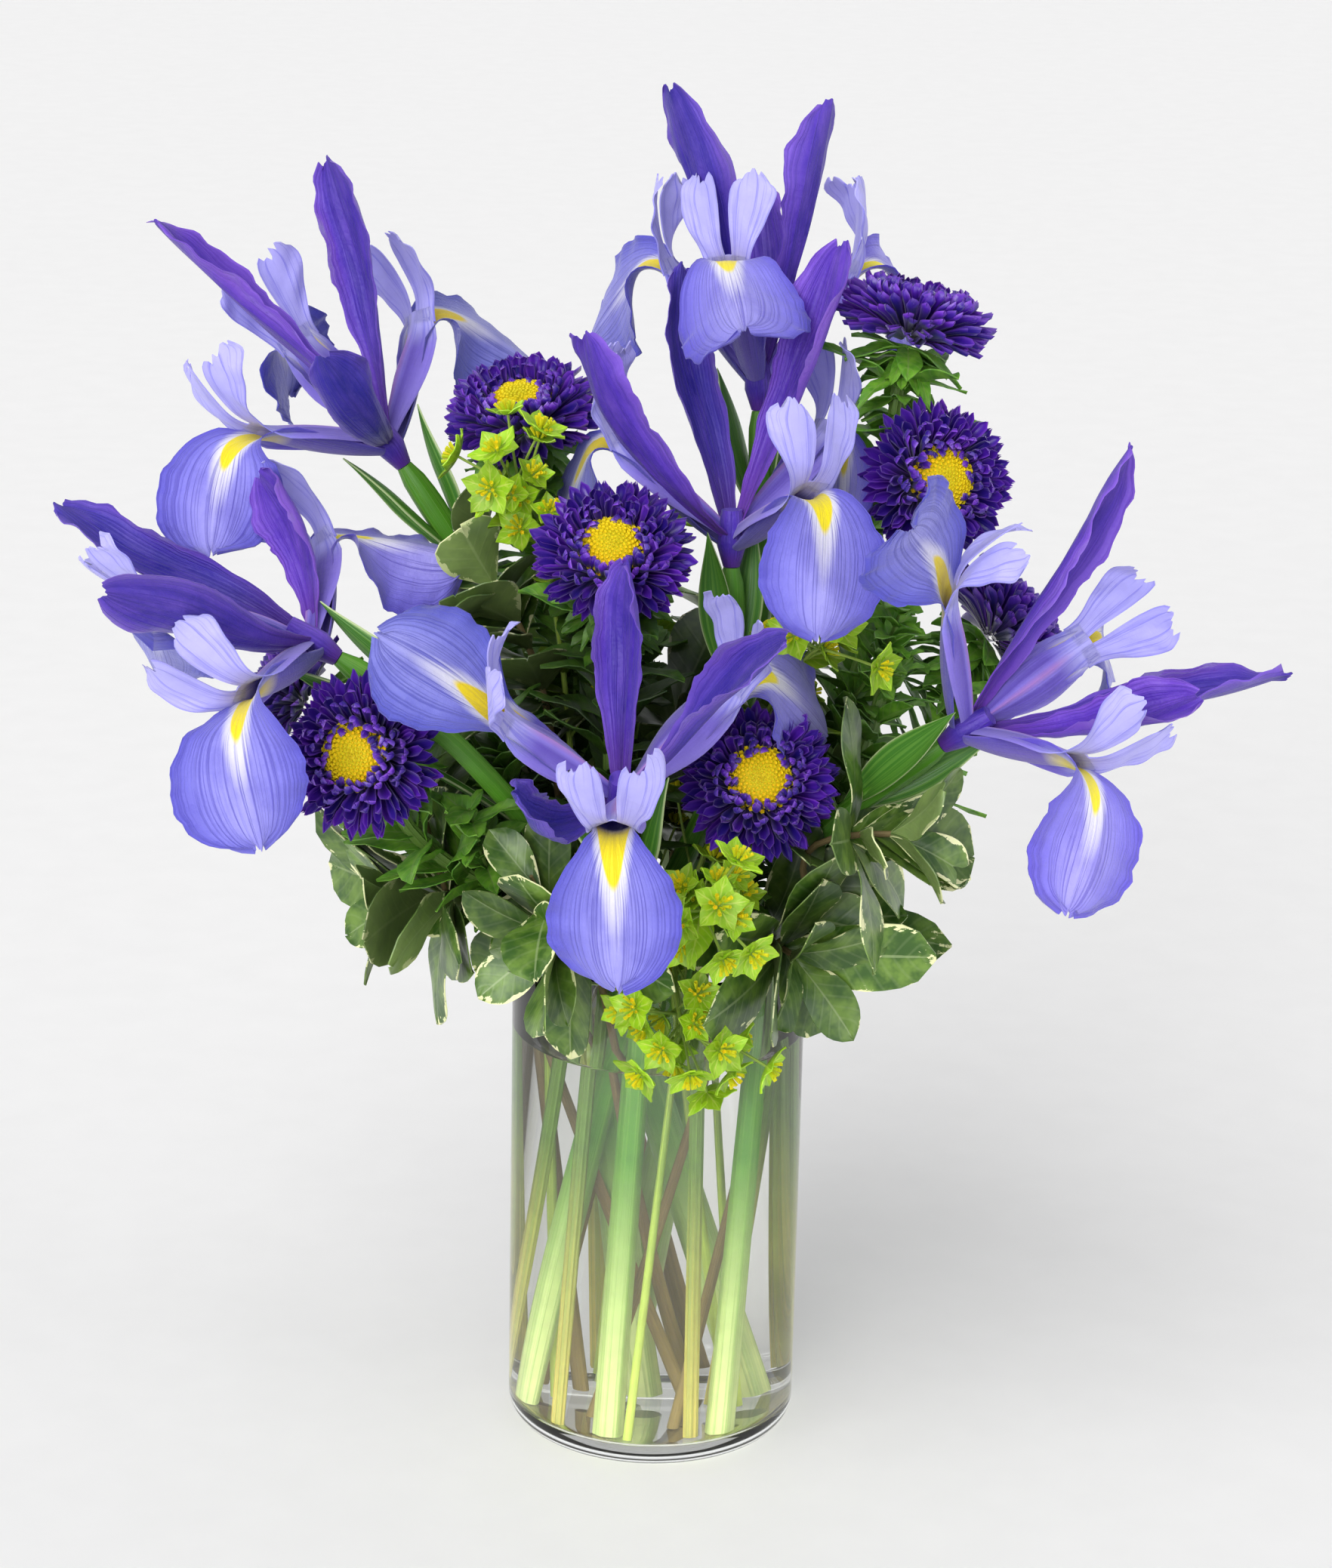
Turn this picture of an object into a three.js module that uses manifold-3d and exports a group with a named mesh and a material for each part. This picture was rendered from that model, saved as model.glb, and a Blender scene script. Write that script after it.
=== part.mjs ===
// A florist's bouquet of blue Dutch irises and purple China asters with variegated
// pittosporum and bupleurum, standing in water in a clear glass cylinder vase.
// Millimetres, +Z up, +X right and +Y away from the front. The origin is the centre of
// the vase's foot. A heading is in degrees from +X towards +Y, a rise is above level.

import * as THREE from 'three';
import { mergeVertices } from 'three/addons/utils/BufferGeometryUtils.js';
import Module from 'manifold-3d';

const wasm = await Module();
wasm.setup();

// Vase and water
const VASE_RADIUS = 50;
const VASE_HEIGHT = 177;
const VASE_WALL = 3;
const VASE_FLOOR = 8;
const FOOT_ROUND = 9;
const LIP_ROUND = 1.5;
const FLOOR_FILLET = 3;
const VASE_SIDES = 28;
const WATER_LEVEL = 144;

// Stems run straight up to here, a little above the vase's mouth
const BEND_LEVEL = 185;

// Clearance between pieces that touch, and between the leaves of one plant and its neighbours
const GAP = 0.3;
const LEAF_CLEARANCE = 0.45;

// Iris blooms
const HAFT = 55;
const FALL_BLADE = 50;
const FALL_HALF_WIDTH = 21;
const STANDARD_HALF_WIDTH = 12.5;
const CREST = 34;
const CREST_HALF_WIDTH = 8.5;
const PETAL_THICKNESS = 0.8;

// Iris stems
const IRIS_FOOT_RADIUS = 4.8;
const IRIS_NECK_RADIUS = 3.4;
const OVARY_RADIUS = 4.4;
const OVARY_LENGTH = 34;
const SPATHE = 52;
const STRAP_HALF_WIDTH = 4.6;
const IRIS_STEM_SIDES = 6;

// Asters
const ASTER_RADIUS = 27;
const ASTER_FLORETS = 10;
const DISC_RADIUS = 9.6;
const DISC_BUDS = 6;
const BRACTS = 5;
const ASTER_STEM_RADIUS = 2.3;
const STEM_SIDES = 5;

// Foliage
const LEAF_THICKNESS = 0.7;
const HUB_THICKNESS = 1.4;
const WOODY_RADIUS = 1.9;
const WOODY_SIDES = 5;
const BUPLEURUM_RADIUS = 1.5;
const BUPLEURUM_SIDES = 4;
const BRACT = 9.5;
const RAY_RADIUS = 0.8;
const RAYS = 3;

// An iris has its bloom's seat, where its stem stands on the vase's floor and where it
// passes the mouth. A fall is the heading and rise of its haft, then of its blade, and a
// standard is its heading, rise, length and bow. An aster, a twig or a spray is alike.
const IRISES = [
  {
    name: 'iris_upper_left', seat: [-90, 37, 331], foot: [24, 9], mouth: [-17, 19], spatheHeading: 200,
    falls: [[85, 48, 50, -20], [210, 16, 250, -40], [152, 42, 105, -30]],
    standards: [[243, 42, 70, 10], [184, 45, 117, 0], [140, 70, 107, 4]],
  },
  {
    name: 'iris_left', seat: [-105, -52, 288], foot: [-2, 12], mouth: [-20, 0], spatheHeading: 60,
    strap: { distance: 105, heading: 195, rise: 38, length: 74 },
    falls: [[100, 26, 10, -8], [246, 2, 270, -52], [192, 18, 100, -40]],
    standards: [[228, 22, 105, 6], [163, 23, 107, 0], [125, 45, 72, 5]],
  },
  {
    name: 'iris_back', seat: [30, 45, 351], foot: [-7, 22], mouth: [13, 28], spatheHeading: 330,
    strap: { distance: 120, heading: 60, rise: 60, length: 88 },
    falls: [[238, 66, 275, -8], [155, 52, 135, -35], [20, 54, 50, -28]],
    standards: [[90, 50, 85, 6], [350, 79, 108, 3], [190, 73, 115, 2]],
  },
  {
    name: 'iris_centre', seat: [21, -5, 309], foot: [-36, -7], mouth: [-4, -12], spatheHeading: 240,
    falls: [[302, 37, 280, -45], [160, 42, 205, -60], [38, 46, 50, -72]],
    standards: [[112, 62, 105, 5], [28, 70, 113, 2], [217, 54, 105, 8]],
  },
  {
    name: 'iris_front', seat: [-13, -70, 242], foot: [-13, -33], mouth: [-4, -29], spatheHeading: 20,
    falls: [[268, 14, 278, -69], [208, 42, 180, 37], [22, 48, 40, -27]],
    standards: [[88, 84, 84, 2], [313, 46, 105, 0], [234, 22, 60, 10]],
  },
  {
    name: 'iris_right', seat: [91, -35, 258], foot: [22, -29], mouth: [33, -24], spatheHeading: 30,
    strap: { distance: 44, heading: 165, rise: 66, length: 66 },
    falls: [[262, 76, 245, 37], [315, 7, 276, -52], [20, 32, 70, -30]],
    standards: [[338, 18, 90, 5], [12, 59, 115, 0], [1, 13, 116, 4]],
  },
];

const ASTERS = [
  {
    name: 'aster_upper_left', centre: [-50, 25, 353], facing: [245, 66],
    foot: [-9, 36], mouth: [-14, 34], joints: [22],
  },
  {
    name: 'aster_centre', centre: [-18, -36, 320], facing: [270, 48],
    foot: [-29, -27], mouth: [-17, -22], joints: [22],
  },
  {
    name: 'aster_top_right', centre: [80, 22, 388], facing: [20, 76],
    foot: [16, 1], mouth: [35, 8], via: [[79, 24, 305]], joints: [16, 36],
  },
  {
    name: 'aster_right', centre: [88, 2, 338], facing: [292, 18],
    foot: [38, 12], mouth: [41, -9], via: [[75, 7, 257]], joints: [24],
  },
  {
    name: 'aster_left', centre: [-96, -76, 263], facing: [252, 14],
    foot: [-38, 10], mouth: [-25, -27], joints: [24],
  },
  {
    name: 'aster_front', centre: [31, -50, 249], facing: [275, 30],
    foot: [13, -34], mouth: [13, -42], joints: [24],
  },
  {
    name: 'aster_far_left', centre: [-129, 22, 254], facing: [175, 25],
    foot: [-24, 32], mouth: [-37, 13], joints: [24],
  },
  {
    name: 'aster_far_right', centre: [118, 52, 276], facing: [20, 35],
    foot: [24, 32], mouth: [30, 14], joints: [24],
  },
];

const PITTOSPORUM = [
  {
    name: 'pittosporum_front_left', end: [-34, -60, 198], points: [235, 5],
    foot: [9, 18], mouth: [-21, -41],
  },
  {
    name: 'pittosporum_front_right', end: [44, -46, 188], points: [310, 0],
    foot: [-16, -15], mouth: [26, -33],
  },
  {
    name: 'pittosporum_right', end: [75, -50, 232], points: [345, 15],
    foot: [7, -24], mouth: [41, -13], via: [[50, -44, 203]],
  },
  {
    name: 'pittosporum_left', end: [-83, -26, 198], points: [195, 5],
    foot: [10, -2], mouth: [-44, 1],
  },
  {
    name: 'pittosporum_upper_left', end: [-62, 12, 301], points: [150, 45],
    foot: [-16, 12], mouth: [-32, 20],
  },
  {
    name: 'pittosporum_back_left', end: [-50, 60, 205], points: [125, 5],
    foot: [9, 39], mouth: [-18, 41],
  },
  {
    name: 'pittosporum_back', end: [10, 72, 215], points: [85, 10],
    foot: [-25, 14], mouth: [3, 42],
  },
  {
    name: 'pittosporum_back_right', end: [62, 48, 210], points: [40, 10],
    foot: [33, 23], mouth: [30, 31],
  },
];

const BUPLEURUM = [
  {
    name: 'bupleurum_front', end: [15, -86, 217], points: [285, 25],
    foot: [-7, -39], mouth: [9, -35], via: [[14, -57, 201]],
  },
  {
    name: 'bupleurum_front_low', end: [8, -66, 167], points: [285, -45],
    foot: [23, -3], mouth: [15, -31],
  },
  {
    name: 'bupleurum_left', end: [-51, -2, 335], points: [230, 55],
    foot: [-24, 1], mouth: [-27, 17],
  },
  {
    name: 'bupleurum_right', end: [50, -30, 289], points: [300, 40],
    foot: [21, -7], mouth: [3, -28],
  },
  {
    name: 'bupleurum_back', end: [-20, 66, 290], points: [100, 45],
    foot: [-10, 30], mouth: [-3, 22],
  },
];

const glass = new THREE.MeshStandardMaterial({
  name: 'clear_glass', color: 0xe8f1ee, roughness: 0.05, transparent: true, opacity: 0.3,
});
const water = new THREE.MeshStandardMaterial({
  name: 'water', color: 0xdfeaf0, roughness: 0.02, transparent: true, opacity: 0.35,
});
const irisBlue = new THREE.MeshStandardMaterial({ name: 'iris_petal', color: 0x6a62c8, roughness: 0.6 });
const irisGreen = new THREE.MeshStandardMaterial({ name: 'iris_green', color: 0x6f9a45, roughness: 0.55 });
const asterViolet = new THREE.MeshStandardMaterial({
  name: 'aster_floret', color: 0x3a1a78, roughness: 0.6,
});
const asterYellow = new THREE.MeshStandardMaterial({ name: 'aster_disc', color: 0xe8b80c, roughness: 0.7 });
const asterGreen = new THREE.MeshStandardMaterial({ name: 'aster_green', color: 0x4c7a2c, roughness: 0.6 });
const pittosporumGreen = new THREE.MeshStandardMaterial({
  name: 'pittosporum_leaf', color: 0x4f6e4c, roughness: 0.5,
});
const bupleurumGreen = new THREE.MeshStandardMaterial({
  name: 'bupleurum_bract', color: 0x8fbf2a, roughness: 0.6,
});

// Directions and points

function vec([x, y, z]) {
  return new THREE.Vector3(x, y, z);
}

function polar(heading, rise, length = 1) {
  const level = length * Math.cos(THREE.MathUtils.degToRad(rise));
  const turn = THREE.MathUtils.degToRad(heading);
  return new THREE.Vector3(
    level * Math.cos(turn),
    level * Math.sin(turn),
    length * Math.sin(THREE.MathUtils.degToRad(rise)),
  );
}

// The point reached from a start by steps, each a direction and a distance along it.
function along(start, ...steps) {
  const point = start.clone();
  for (const [direction, distance] of steps) {
    point.addScaledVector(direction, distance);
  }
  return point;
}

function crossed(a, b) {
  return new THREE.Vector3().crossVectors(a, b).normalize();
}

// A direction square to an axis.
function squareTo(axis) {
  const other = Math.abs(axis.y) > 0.9 ? vec([1, 0, 0]) : vec([0, 1, 0]);
  return crossed(axis, other);
}

// A smooth path that starts and ends on its first and last points and rounds the others.
function softPath(points) {
  const path = new THREE.CurvePath();
  for (let i = 1; i < points.length - 1; i += 1) {
    const from = i === 1 ? points[0] : points[i - 1].clone().lerp(points[i], 0.5);
    const to = i === points.length - 2 ? points[i + 1] : points[i].clone().lerp(points[i + 1], 0.5);
    path.add(new THREE.QuadraticBezierCurve3(from, points[i], to));
  }
  return path;
}

// Half-width along a blade as a share of its greatest, which lies at the peak.
function swell(u, root, peak, tip, rootPower, tipPower) {
  const beforePeak = u < peak;
  const share = beforePeak ? u / peak : (1 - u) / (1 - peak);
  const end = beforePeak ? root : tip;
  return end + (1 - end) * Math.sin(share * Math.PI / 2) ** (beforePeak ? rootPower : tipPower);
}

function evenSteps(count) {
  return Array.from({ length: count + 1 }, (_, i) => i / count);
}

// Closed bodies

function geometryFrom(positions, index) {
  const geometry = new THREE.BufferGeometry();
  geometry.setAttribute('position', new THREE.Float32BufferAttribute(positions, 3));
  geometry.setIndex(index);
  return geometry;
}

function solidFrom(geometry) {
  const bare = geometry.clone();
  bare.deleteAttribute('normal');
  bare.deleteAttribute('uv');
  const merged = mergeVertices(bare, 1e-4);
  const triangles = [];
  const index = merged.index.array;
  for (let i = 0; i < index.length; i += 3) {
    const [a, b, c] = [index[i], index[i + 1], index[i + 2]];
    if (a !== b && b !== c && c !== a) {
      triangles.push(a, b, c);
    }
  }
  return new wasm.Manifold(new wasm.Mesh({
    numProp: 3,
    vertProperties: new Float32Array(merged.attributes.position.array),
    triVerts: new Uint32Array(triangles),
  }));
}

function geometryOf(solid) {
  const mesh = solid.getMesh();
  const positions = [];
  for (let i = 0; i < mesh.numVert; i += 1) {
    positions.push(...mesh.vertProperties.slice(i * mesh.numProp, i * mesh.numProp + 3));
  }
  return geometryFrom(positions, [...mesh.triVerts]);
}

// A sheet of even thickness over point(u, v), with u along it from 0 to 1 and v across
// it from -1 to 1. Both faces are split into triangles alike.
function sheet(point, steps, columns, thickness) {
  const rows = steps.length - 1;
  const across = columns + 1;
  const nudge = 1e-3;
  const upper = [];
  const lower = [];
  for (const u of steps) {
    for (let j = 0; j < across; j += 1) {
      const v = 2 * j / columns - 1;
      const onward = point(Math.min(u + nudge, 1), v).sub(point(Math.max(u - nudge, 0), v));
      const sideways = point(u, v + nudge).sub(point(u, v - nudge));
      const normal = crossed(onward, sideways);
      upper.push(...along(point(u, v), [normal, thickness / 2]));
      lower.push(...along(point(u, v), [normal, -thickness / 2]));
    }
  }
  const below = across * (rows + 1);
  const index = [];
  const quad = (a, b, c, d) => index.push(a, b, c, a, c, d);
  for (let i = 0; i < rows; i += 1) {
    for (let j = 0; j < columns; j += 1) {
      const a = i * across + j;
      index.push(a, a + across, a + across + 1, a, a + across + 1, a + 1);
      const b = a + below;
      index.push(b, b + across + 1, b + across, b, b + 1, b + across + 1);
    }
  }
  for (let i = 0; i < rows; i += 1) {
    const left = i * across;
    const right = left + columns;
    quad(left + across, left, left + below, left + across + below);
    quad(right, right + across, right + across + below, right + below);
  }
  for (let j = 0; j < columns; j += 1) {
    const tip = rows * across + j;
    quad(j, j + 1, j + 1 + below, j + below);
    quad(tip + 1, tip, tip + below, tip + 1 + below);
  }
  return solidFrom(geometryFrom([...upper, ...lower], index));
}

// A blade bent along a path: side is the way its width runs, cup lifts its edges by a
// share of the half-width, and wave ruffles them.
function blade({ path, side, width, cup = () => 0, wave = 0, waves = 2, steps, columns = 2, thickness }) {
  const point = (u, v) => {
    const onward = path.getTangent(u);
    const across = side.clone().addScaledVector(onward, -side.dot(onward)).normalize();
    const up = crossed(onward, across);
    const half = width(u);
    const lift = cup(u) * half * v * v + wave * u * v * v * Math.sin(Math.PI * (2 * waves * u + v));
    return along(path.getPoint(u), [across, half * v], [up, lift]);
  };
  return sheet(point, steps, columns, thickness);
}

// A stem of round section along a path, its radius given at every step, its foot cut level.
function stalk(path, steps, radius, sides) {
  const geometry = new THREE.CylinderGeometry(1, 1, 1, sides, steps.length - 1);
  const position = geometry.attributes.position;
  const frames = [];
  let across = new THREE.Vector3(1, 0, 0);
  for (const u of steps) {
    const onward = path.getTangent(u);
    across = across.clone().addScaledVector(onward, -across.dot(onward)).normalize();
    frames.push({ centre: path.getPoint(u), across, deep: crossed(onward, across), radius: radius(u) });
  }
  for (let i = 0; i < position.count; i += 1) {
    const step = Math.round((position.getY(i) + 0.5) * (steps.length - 1));
    const frame = frames[step];
    const place = along(
      frame.centre,
      [frame.across, position.getZ(i) * frame.radius],
      [frame.deep, position.getX(i) * frame.radius],
    );
    if (step === 0) {
      const onward = path.getTangent(0);
      place.addScaledVector(onward, (frame.centre.z - place.z) / onward.z);
    }
    position.setXYZ(i, place.x, place.y, place.z);
  }
  return solidFrom(geometry);
}

// A turned body on a seat: its profile is radius and height along the axis.
function turned(profile, sides, seat, axis) {
  const points = profile.map(([radius, height]) => new THREE.Vector2(radius, height));
  const geometry = new THREE.LatheGeometry(points, sides);
  geometry.rotateX(Math.PI / 2);
  geometry.applyQuaternion(new THREE.Quaternion().setFromUnitVectors(new THREE.Vector3(0, 0, 1), axis));
  geometry.translate(seat.x, seat.y, seat.z);
  return solidFrom(geometry);
}

// Nodes of the object: each is one closed body, and keeps clear of the others

const nodes = new Map();

// The largest body of a solid, with no loose scrap and no sealed hollow.
function whole(solid) {
  return solid.decompose().reduce((most, part) => (part.volume() > most.volume() ? part : most));
}

function setNode(name, solid, material) {
  nodes.set(name, { solid: whole(solid), box: solid.boundingBox(), material });
}

function joined(solids) {
  return solids.reduce((sum, solid) => sum.add(solid));
}

function apart(a, b, distance) {
  return a.min.some((low, i) => low > b.max[i] + distance || b.min[i] > a.max[i] + distance);
}

function isClear(solid, ownName) {
  const box = solid.boundingBox();
  for (const [name, node] of nodes) {
    if (name !== ownName && !apart(box, node.box, LEAF_CLEARANCE)
        && node.solid.minGap(solid, LEAF_CLEARANCE) < LEAF_CLEARANCE) {
      return false;
    }
  }
  return true;
}

// Adds a leaf to its node in the first of several attitudes that is clear of other nodes.
function grow(name, attitudes, makeLeaf) {
  for (const attitude of attitudes) {
    const leaf = makeLeaf(attitude);
    if (isClear(leaf, name)) {
      const node = nodes.get(name);
      setNode(name, node.solid.add(leaf), node.material);
      return;
    }
  }
}

// Vase and water

function vaseSolid() {
  const inner = VASE_RADIUS - VASE_WALL;
  const profile = [[0, 0]];
  for (const turn of [0, 45, 90]) {
    const angle = THREE.MathUtils.degToRad(turn);
    profile.push([
      VASE_RADIUS - FOOT_ROUND + FOOT_ROUND * Math.sin(angle),
      FOOT_ROUND - FOOT_ROUND * Math.cos(angle),
    ]);
  }
  profile.push([VASE_RADIUS, VASE_HEIGHT - LIP_ROUND]);
  profile.push([VASE_RADIUS - VASE_WALL / 2, VASE_HEIGHT]);
  profile.push([inner, VASE_HEIGHT - LIP_ROUND]);
  profile.push([inner, VASE_FLOOR + FLOOR_FILLET]);
  profile.push([inner - FLOOR_FILLET, VASE_FLOOR]);
  profile.push([0, VASE_FLOOR]);
  return turned(profile, VASE_SIDES, new THREE.Vector3(), new THREE.Vector3(0, 0, 1));
}

function waterSolid(stems) {
  const radius = VASE_RADIUS - VASE_WALL - GAP;
  const floor = VASE_FLOOR + GAP;
  const profile = [
    [0, floor],
    [radius - FLOOR_FILLET, floor],
    [radius, floor + FLOOR_FILLET],
    [radius, WATER_LEVEL],
    [0, WATER_LEVEL],
  ];
  const body = turned(profile, VASE_SIDES, new THREE.Vector3(), new THREE.Vector3(0, 0, 1));
  return body.subtract(joined(stems));
}

// Stems

// A stem's path: straight from the vase's floor past its mouth, then through its bends.
function stemPath({ foot, mouth, via = [] }, bends) {
  const start = vec([...foot, VASE_FLOOR + GAP]);
  const bend = vec([...mouth, BEND_LEVEL]);
  return softPath([start, start.clone().lerp(bend, 0.88), bend, ...via.map(vec), ...bends]);
}

// Steps along a stem, with none below the water line but the foot.
function stemSteps(path, bends) {
  const straight = 0.92 * (BEND_LEVEL - VASE_FLOOR) / path.getLength();
  return [0, ...evenSteps(bends).map((share) => straight + (1 - straight) * share)];
}

// The point at u on the straight pieces that a stem is built of between its steps.
function onStem(path, steps, u) {
  const next = steps.findIndex((step) => step >= u);
  if (next < 1) {
    return path.getPoint(u);
  }
  const [low, high] = [steps[next - 1], steps[next]];
  return path.getPoint(low).lerp(path.getPoint(high), (u - low) / (high - low));
}

// The hole that a stem needs in the water.
function stemHole({ foot, mouth }, radius, sides) {
  const start = vec([...foot, VASE_FLOOR + GAP]);
  const bend = vec([...mouth, BEND_LEVEL]);
  const path = new THREE.CurvePath();
  path.add(new THREE.LineCurve3(start.clone().lerp(bend, -0.02), bend));
  return stalk(path, [0, 1], () => radius + GAP, sides);
}

// Iris

function irisAxis({ falls, standards }) {
  const axis = new THREE.Vector3();
  for (const [heading, rise] of [...falls, ...standards]) {
    axis.add(polar(heading, rise));
  }
  return axis.normalize();
}

function fallWidth(u) {
  const knee = 0.5;
  if (u < knee) {
    return 1.6 + 4.4 * Math.min(u / 0.3, 1);
  }
  const share = (u - knee) / (1 - knee);
  return 6 * (1 - share) + 1.5 + (FALL_HALF_WIDTH - 4) * Math.sin(Math.PI * share ** 0.8) ** 0.75;
}

function irisFall(seat, axis, [heading, rise, bladeHeading, bladeRise]) {
  const haft = polar(heading, rise);
  const hang = polar(bladeHeading, bladeRise);
  const knee = along(seat, [haft, HAFT]);
  return blade({
    path: softPath([
      along(seat, [axis, 4], [haft, 2]),
      along(seat, [haft, HAFT * 0.5], [axis, -3]),
      along(knee, [haft, 9]),
      along(knee, [haft, 7], [hang, FALL_BLADE * 0.5]),
      along(knee, [hang, FALL_BLADE]),
    ]),
    side: crossed(axis, haft),
    width: fallWidth,
    cup: (u) => (u < 0.5 ? 0.35 : 0.35 - 1.1 * (u - 0.5)),
    wave: 1.2,
    steps: [0, 0.5, 0.64, 0.84, 1],
    thickness: PETAL_THICKNESS,
  });
}

// A style arm and its two crests are one sheet, parted by a notch from the arm's end.
function irisStyle(seat, axis, [heading, rise]) {
  const haft = polar(heading, rise);
  const side = crossed(axis, haft);
  const lift = crossed(haft, side);
  const end = along(seat, [haft, HAFT - 2], [lift, 6]);
  const stand = axis.clone().addScaledVector(haft, 0.3).normalize();
  const path = softPath([
    along(seat, [axis, 11], [haft, 3]),
    along(seat, [haft, HAFT * 0.55], [lift, 8]),
    along(end, [haft, 5]),
    along(end, [stand, CREST * 0.6], [haft, 2]),
    along(end, [stand, CREST], [haft, -3]),
  ]);
  const notch = 0.66;
  const point = (u, v) => {
    const reach = Math.abs(v) < 0.25 ? u * notch : u;
    const onward = path.getTangent(reach);
    const across = side.clone().addScaledVector(onward, -side.dot(onward)).normalize();
    const up = crossed(onward, across);
    const flare = Math.max(0, reach - 0.5) / 0.5;
    const half = 1.6 + 5.2 * Math.min(reach / 0.5, 1) + CREST_HALF_WIDTH * Math.sin(flare * 2.2);
    return along(path.getPoint(reach), [across, half * v], [up, -2.4 * v * v * (1 - flare)]);
  };
  return sheet(point, [0, 0.6, 1], 4, PETAL_THICKNESS);
}

function irisStandard(seat, axis, [heading, rise, length, bow]) {
  const reach = polar(heading, rise);
  const side = crossed(axis, reach);
  const inward = crossed(reach, side);
  return blade({
    path: softPath([
      along(seat, [axis, 7], [reach, 4]),
      along(seat, [reach, length * 0.33], [inward, 3 - bow]),
      along(seat, [reach, length * 0.72], [inward, -bow]),
      along(seat, [reach, length]),
    ]),
    side,
    width: (u) => STANDARD_HALF_WIDTH * swell(u, 0.13, 0.6, 0.1, 1.2, 0.9),
    cup: () => 0.45,
    wave: 1.5,
    steps: [0, 0.3, 0.66, 1],
    thickness: PETAL_THICKNESS,
  });
}

function irisBloom(iris) {
  const seat = vec(iris.seat);
  const axis = irisAxis(iris);
  const throat = turned([[0, 0], [2.8, 0], [5.8, 9], [4.6, 19], [0, 19]], 6, seat, axis);
  return joined([
    throat,
    ...iris.falls.map((fall) => irisFall(seat, axis, fall)),
    ...iris.falls.map((fall) => irisStyle(seat, axis, fall)),
    ...iris.standards.map((standard) => irisStandard(seat, axis, standard)),
  ]);
}

function irisStemPath(iris) {
  const seat = vec(iris.seat);
  const axis = irisAxis(iris);
  return stemPath(iris, [
    along(seat, [axis, -62], [new THREE.Vector3(0, 0, 1), -8]),
    along(seat, [axis, -OVARY_LENGTH]),
    along(seat, [axis, -GAP]),
  ]);
}

function irisStemSteps(path) {
  const length = path.getLength();
  const ovary = [1 - OVARY_LENGTH / length, 1 - OVARY_LENGTH / 2 / length];
  return [...stemSteps(path, 4), ...ovary].sort((a, b) => a - b);
}

function irisStem(iris) {
  const path = irisStemPath(iris);
  const length = path.getLength();
  const radius = (u) => {
    const fromTop = (1 - u) * length;
    const ovary = Math.sin(Math.PI * THREE.MathUtils.clamp(fromTop / OVARY_LENGTH, 0, 1));
    const stem = THREE.MathUtils.lerp(IRIS_FOOT_RADIUS, IRIS_NECK_RADIUS, u);
    return fromTop < 1 ? 2.6 : stem + (OVARY_RADIUS - IRIS_NECK_RADIUS) * ovary;
  };
  return stalk(path, irisStemSteps(path), radius, IRIS_STEM_SIDES);
}

// Ways a spathe may stand: its swing about the stem and how far its tip opens
const SPATHE_WAYS = [[0, 10], [0, 4], [0, 16], [30, 8], [-30, 8], [60, 8], [-60, 8]];

// One of the two pointed bracts that clasp the ovary.
function spathe(iris, heading, opening) {
  const seat = vec(iris.seat);
  const axis = irisAxis(iris);
  const out = polar(heading, 0);
  out.addScaledVector(axis, -out.dot(axis)).normalize();
  const start = along(seat, [axis, -OVARY_LENGTH - 4], [out, 1]);
  return blade({
    path: softPath([
      start,
      along(start, [axis, SPATHE * 0.4], [out, 5]),
      along(start, [axis, SPATHE * 0.75], [out, 5 + opening * 0.4]),
      along(start, [axis, SPATHE], [out, 5 + opening]),
    ]),
    side: crossed(axis, out).negate(),
    width: (u) => 6.5 * swell(u, 0.25, 0.45, 0.08, 1, 1.2),
    cup: () => 0.5,
    steps: [0, 0.45, 1],
    thickness: LEAF_THICKNESS,
  });
}

// A long leaf that leaves its iris stem at a distance below the bloom and bows over.
function strapLeaf(iris, { distance, heading, rise, length }) {
  const path = irisStemPath(iris);
  const start = onStem(path, irisStemSteps(path), 1 - distance / path.getLength());
  const out = polar(heading, rise);
  const level = polar(heading, 0);
  return blade({
    path: softPath([
      start,
      along(start, [out, length * 0.5]),
      along(start, [out, length * 0.8], [level, length * 0.12]),
      along(start, [out, length * 0.9], [level, length * 0.3]),
    ]),
    side: polar(heading + 90, 0),
    width: (u) => STRAP_HALF_WIDTH * swell(u, 0.55, 0.45, 0.12, 1, 0.8),
    cup: () => 0.3,
    steps: [0, 0.45, 0.75, 1],
    thickness: LEAF_THICKNESS,
  });
}

// Aster

function asterSeat({ centre, facing }) {
  return along(vec(centre), [polar(...facing), -9]);
}

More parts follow.
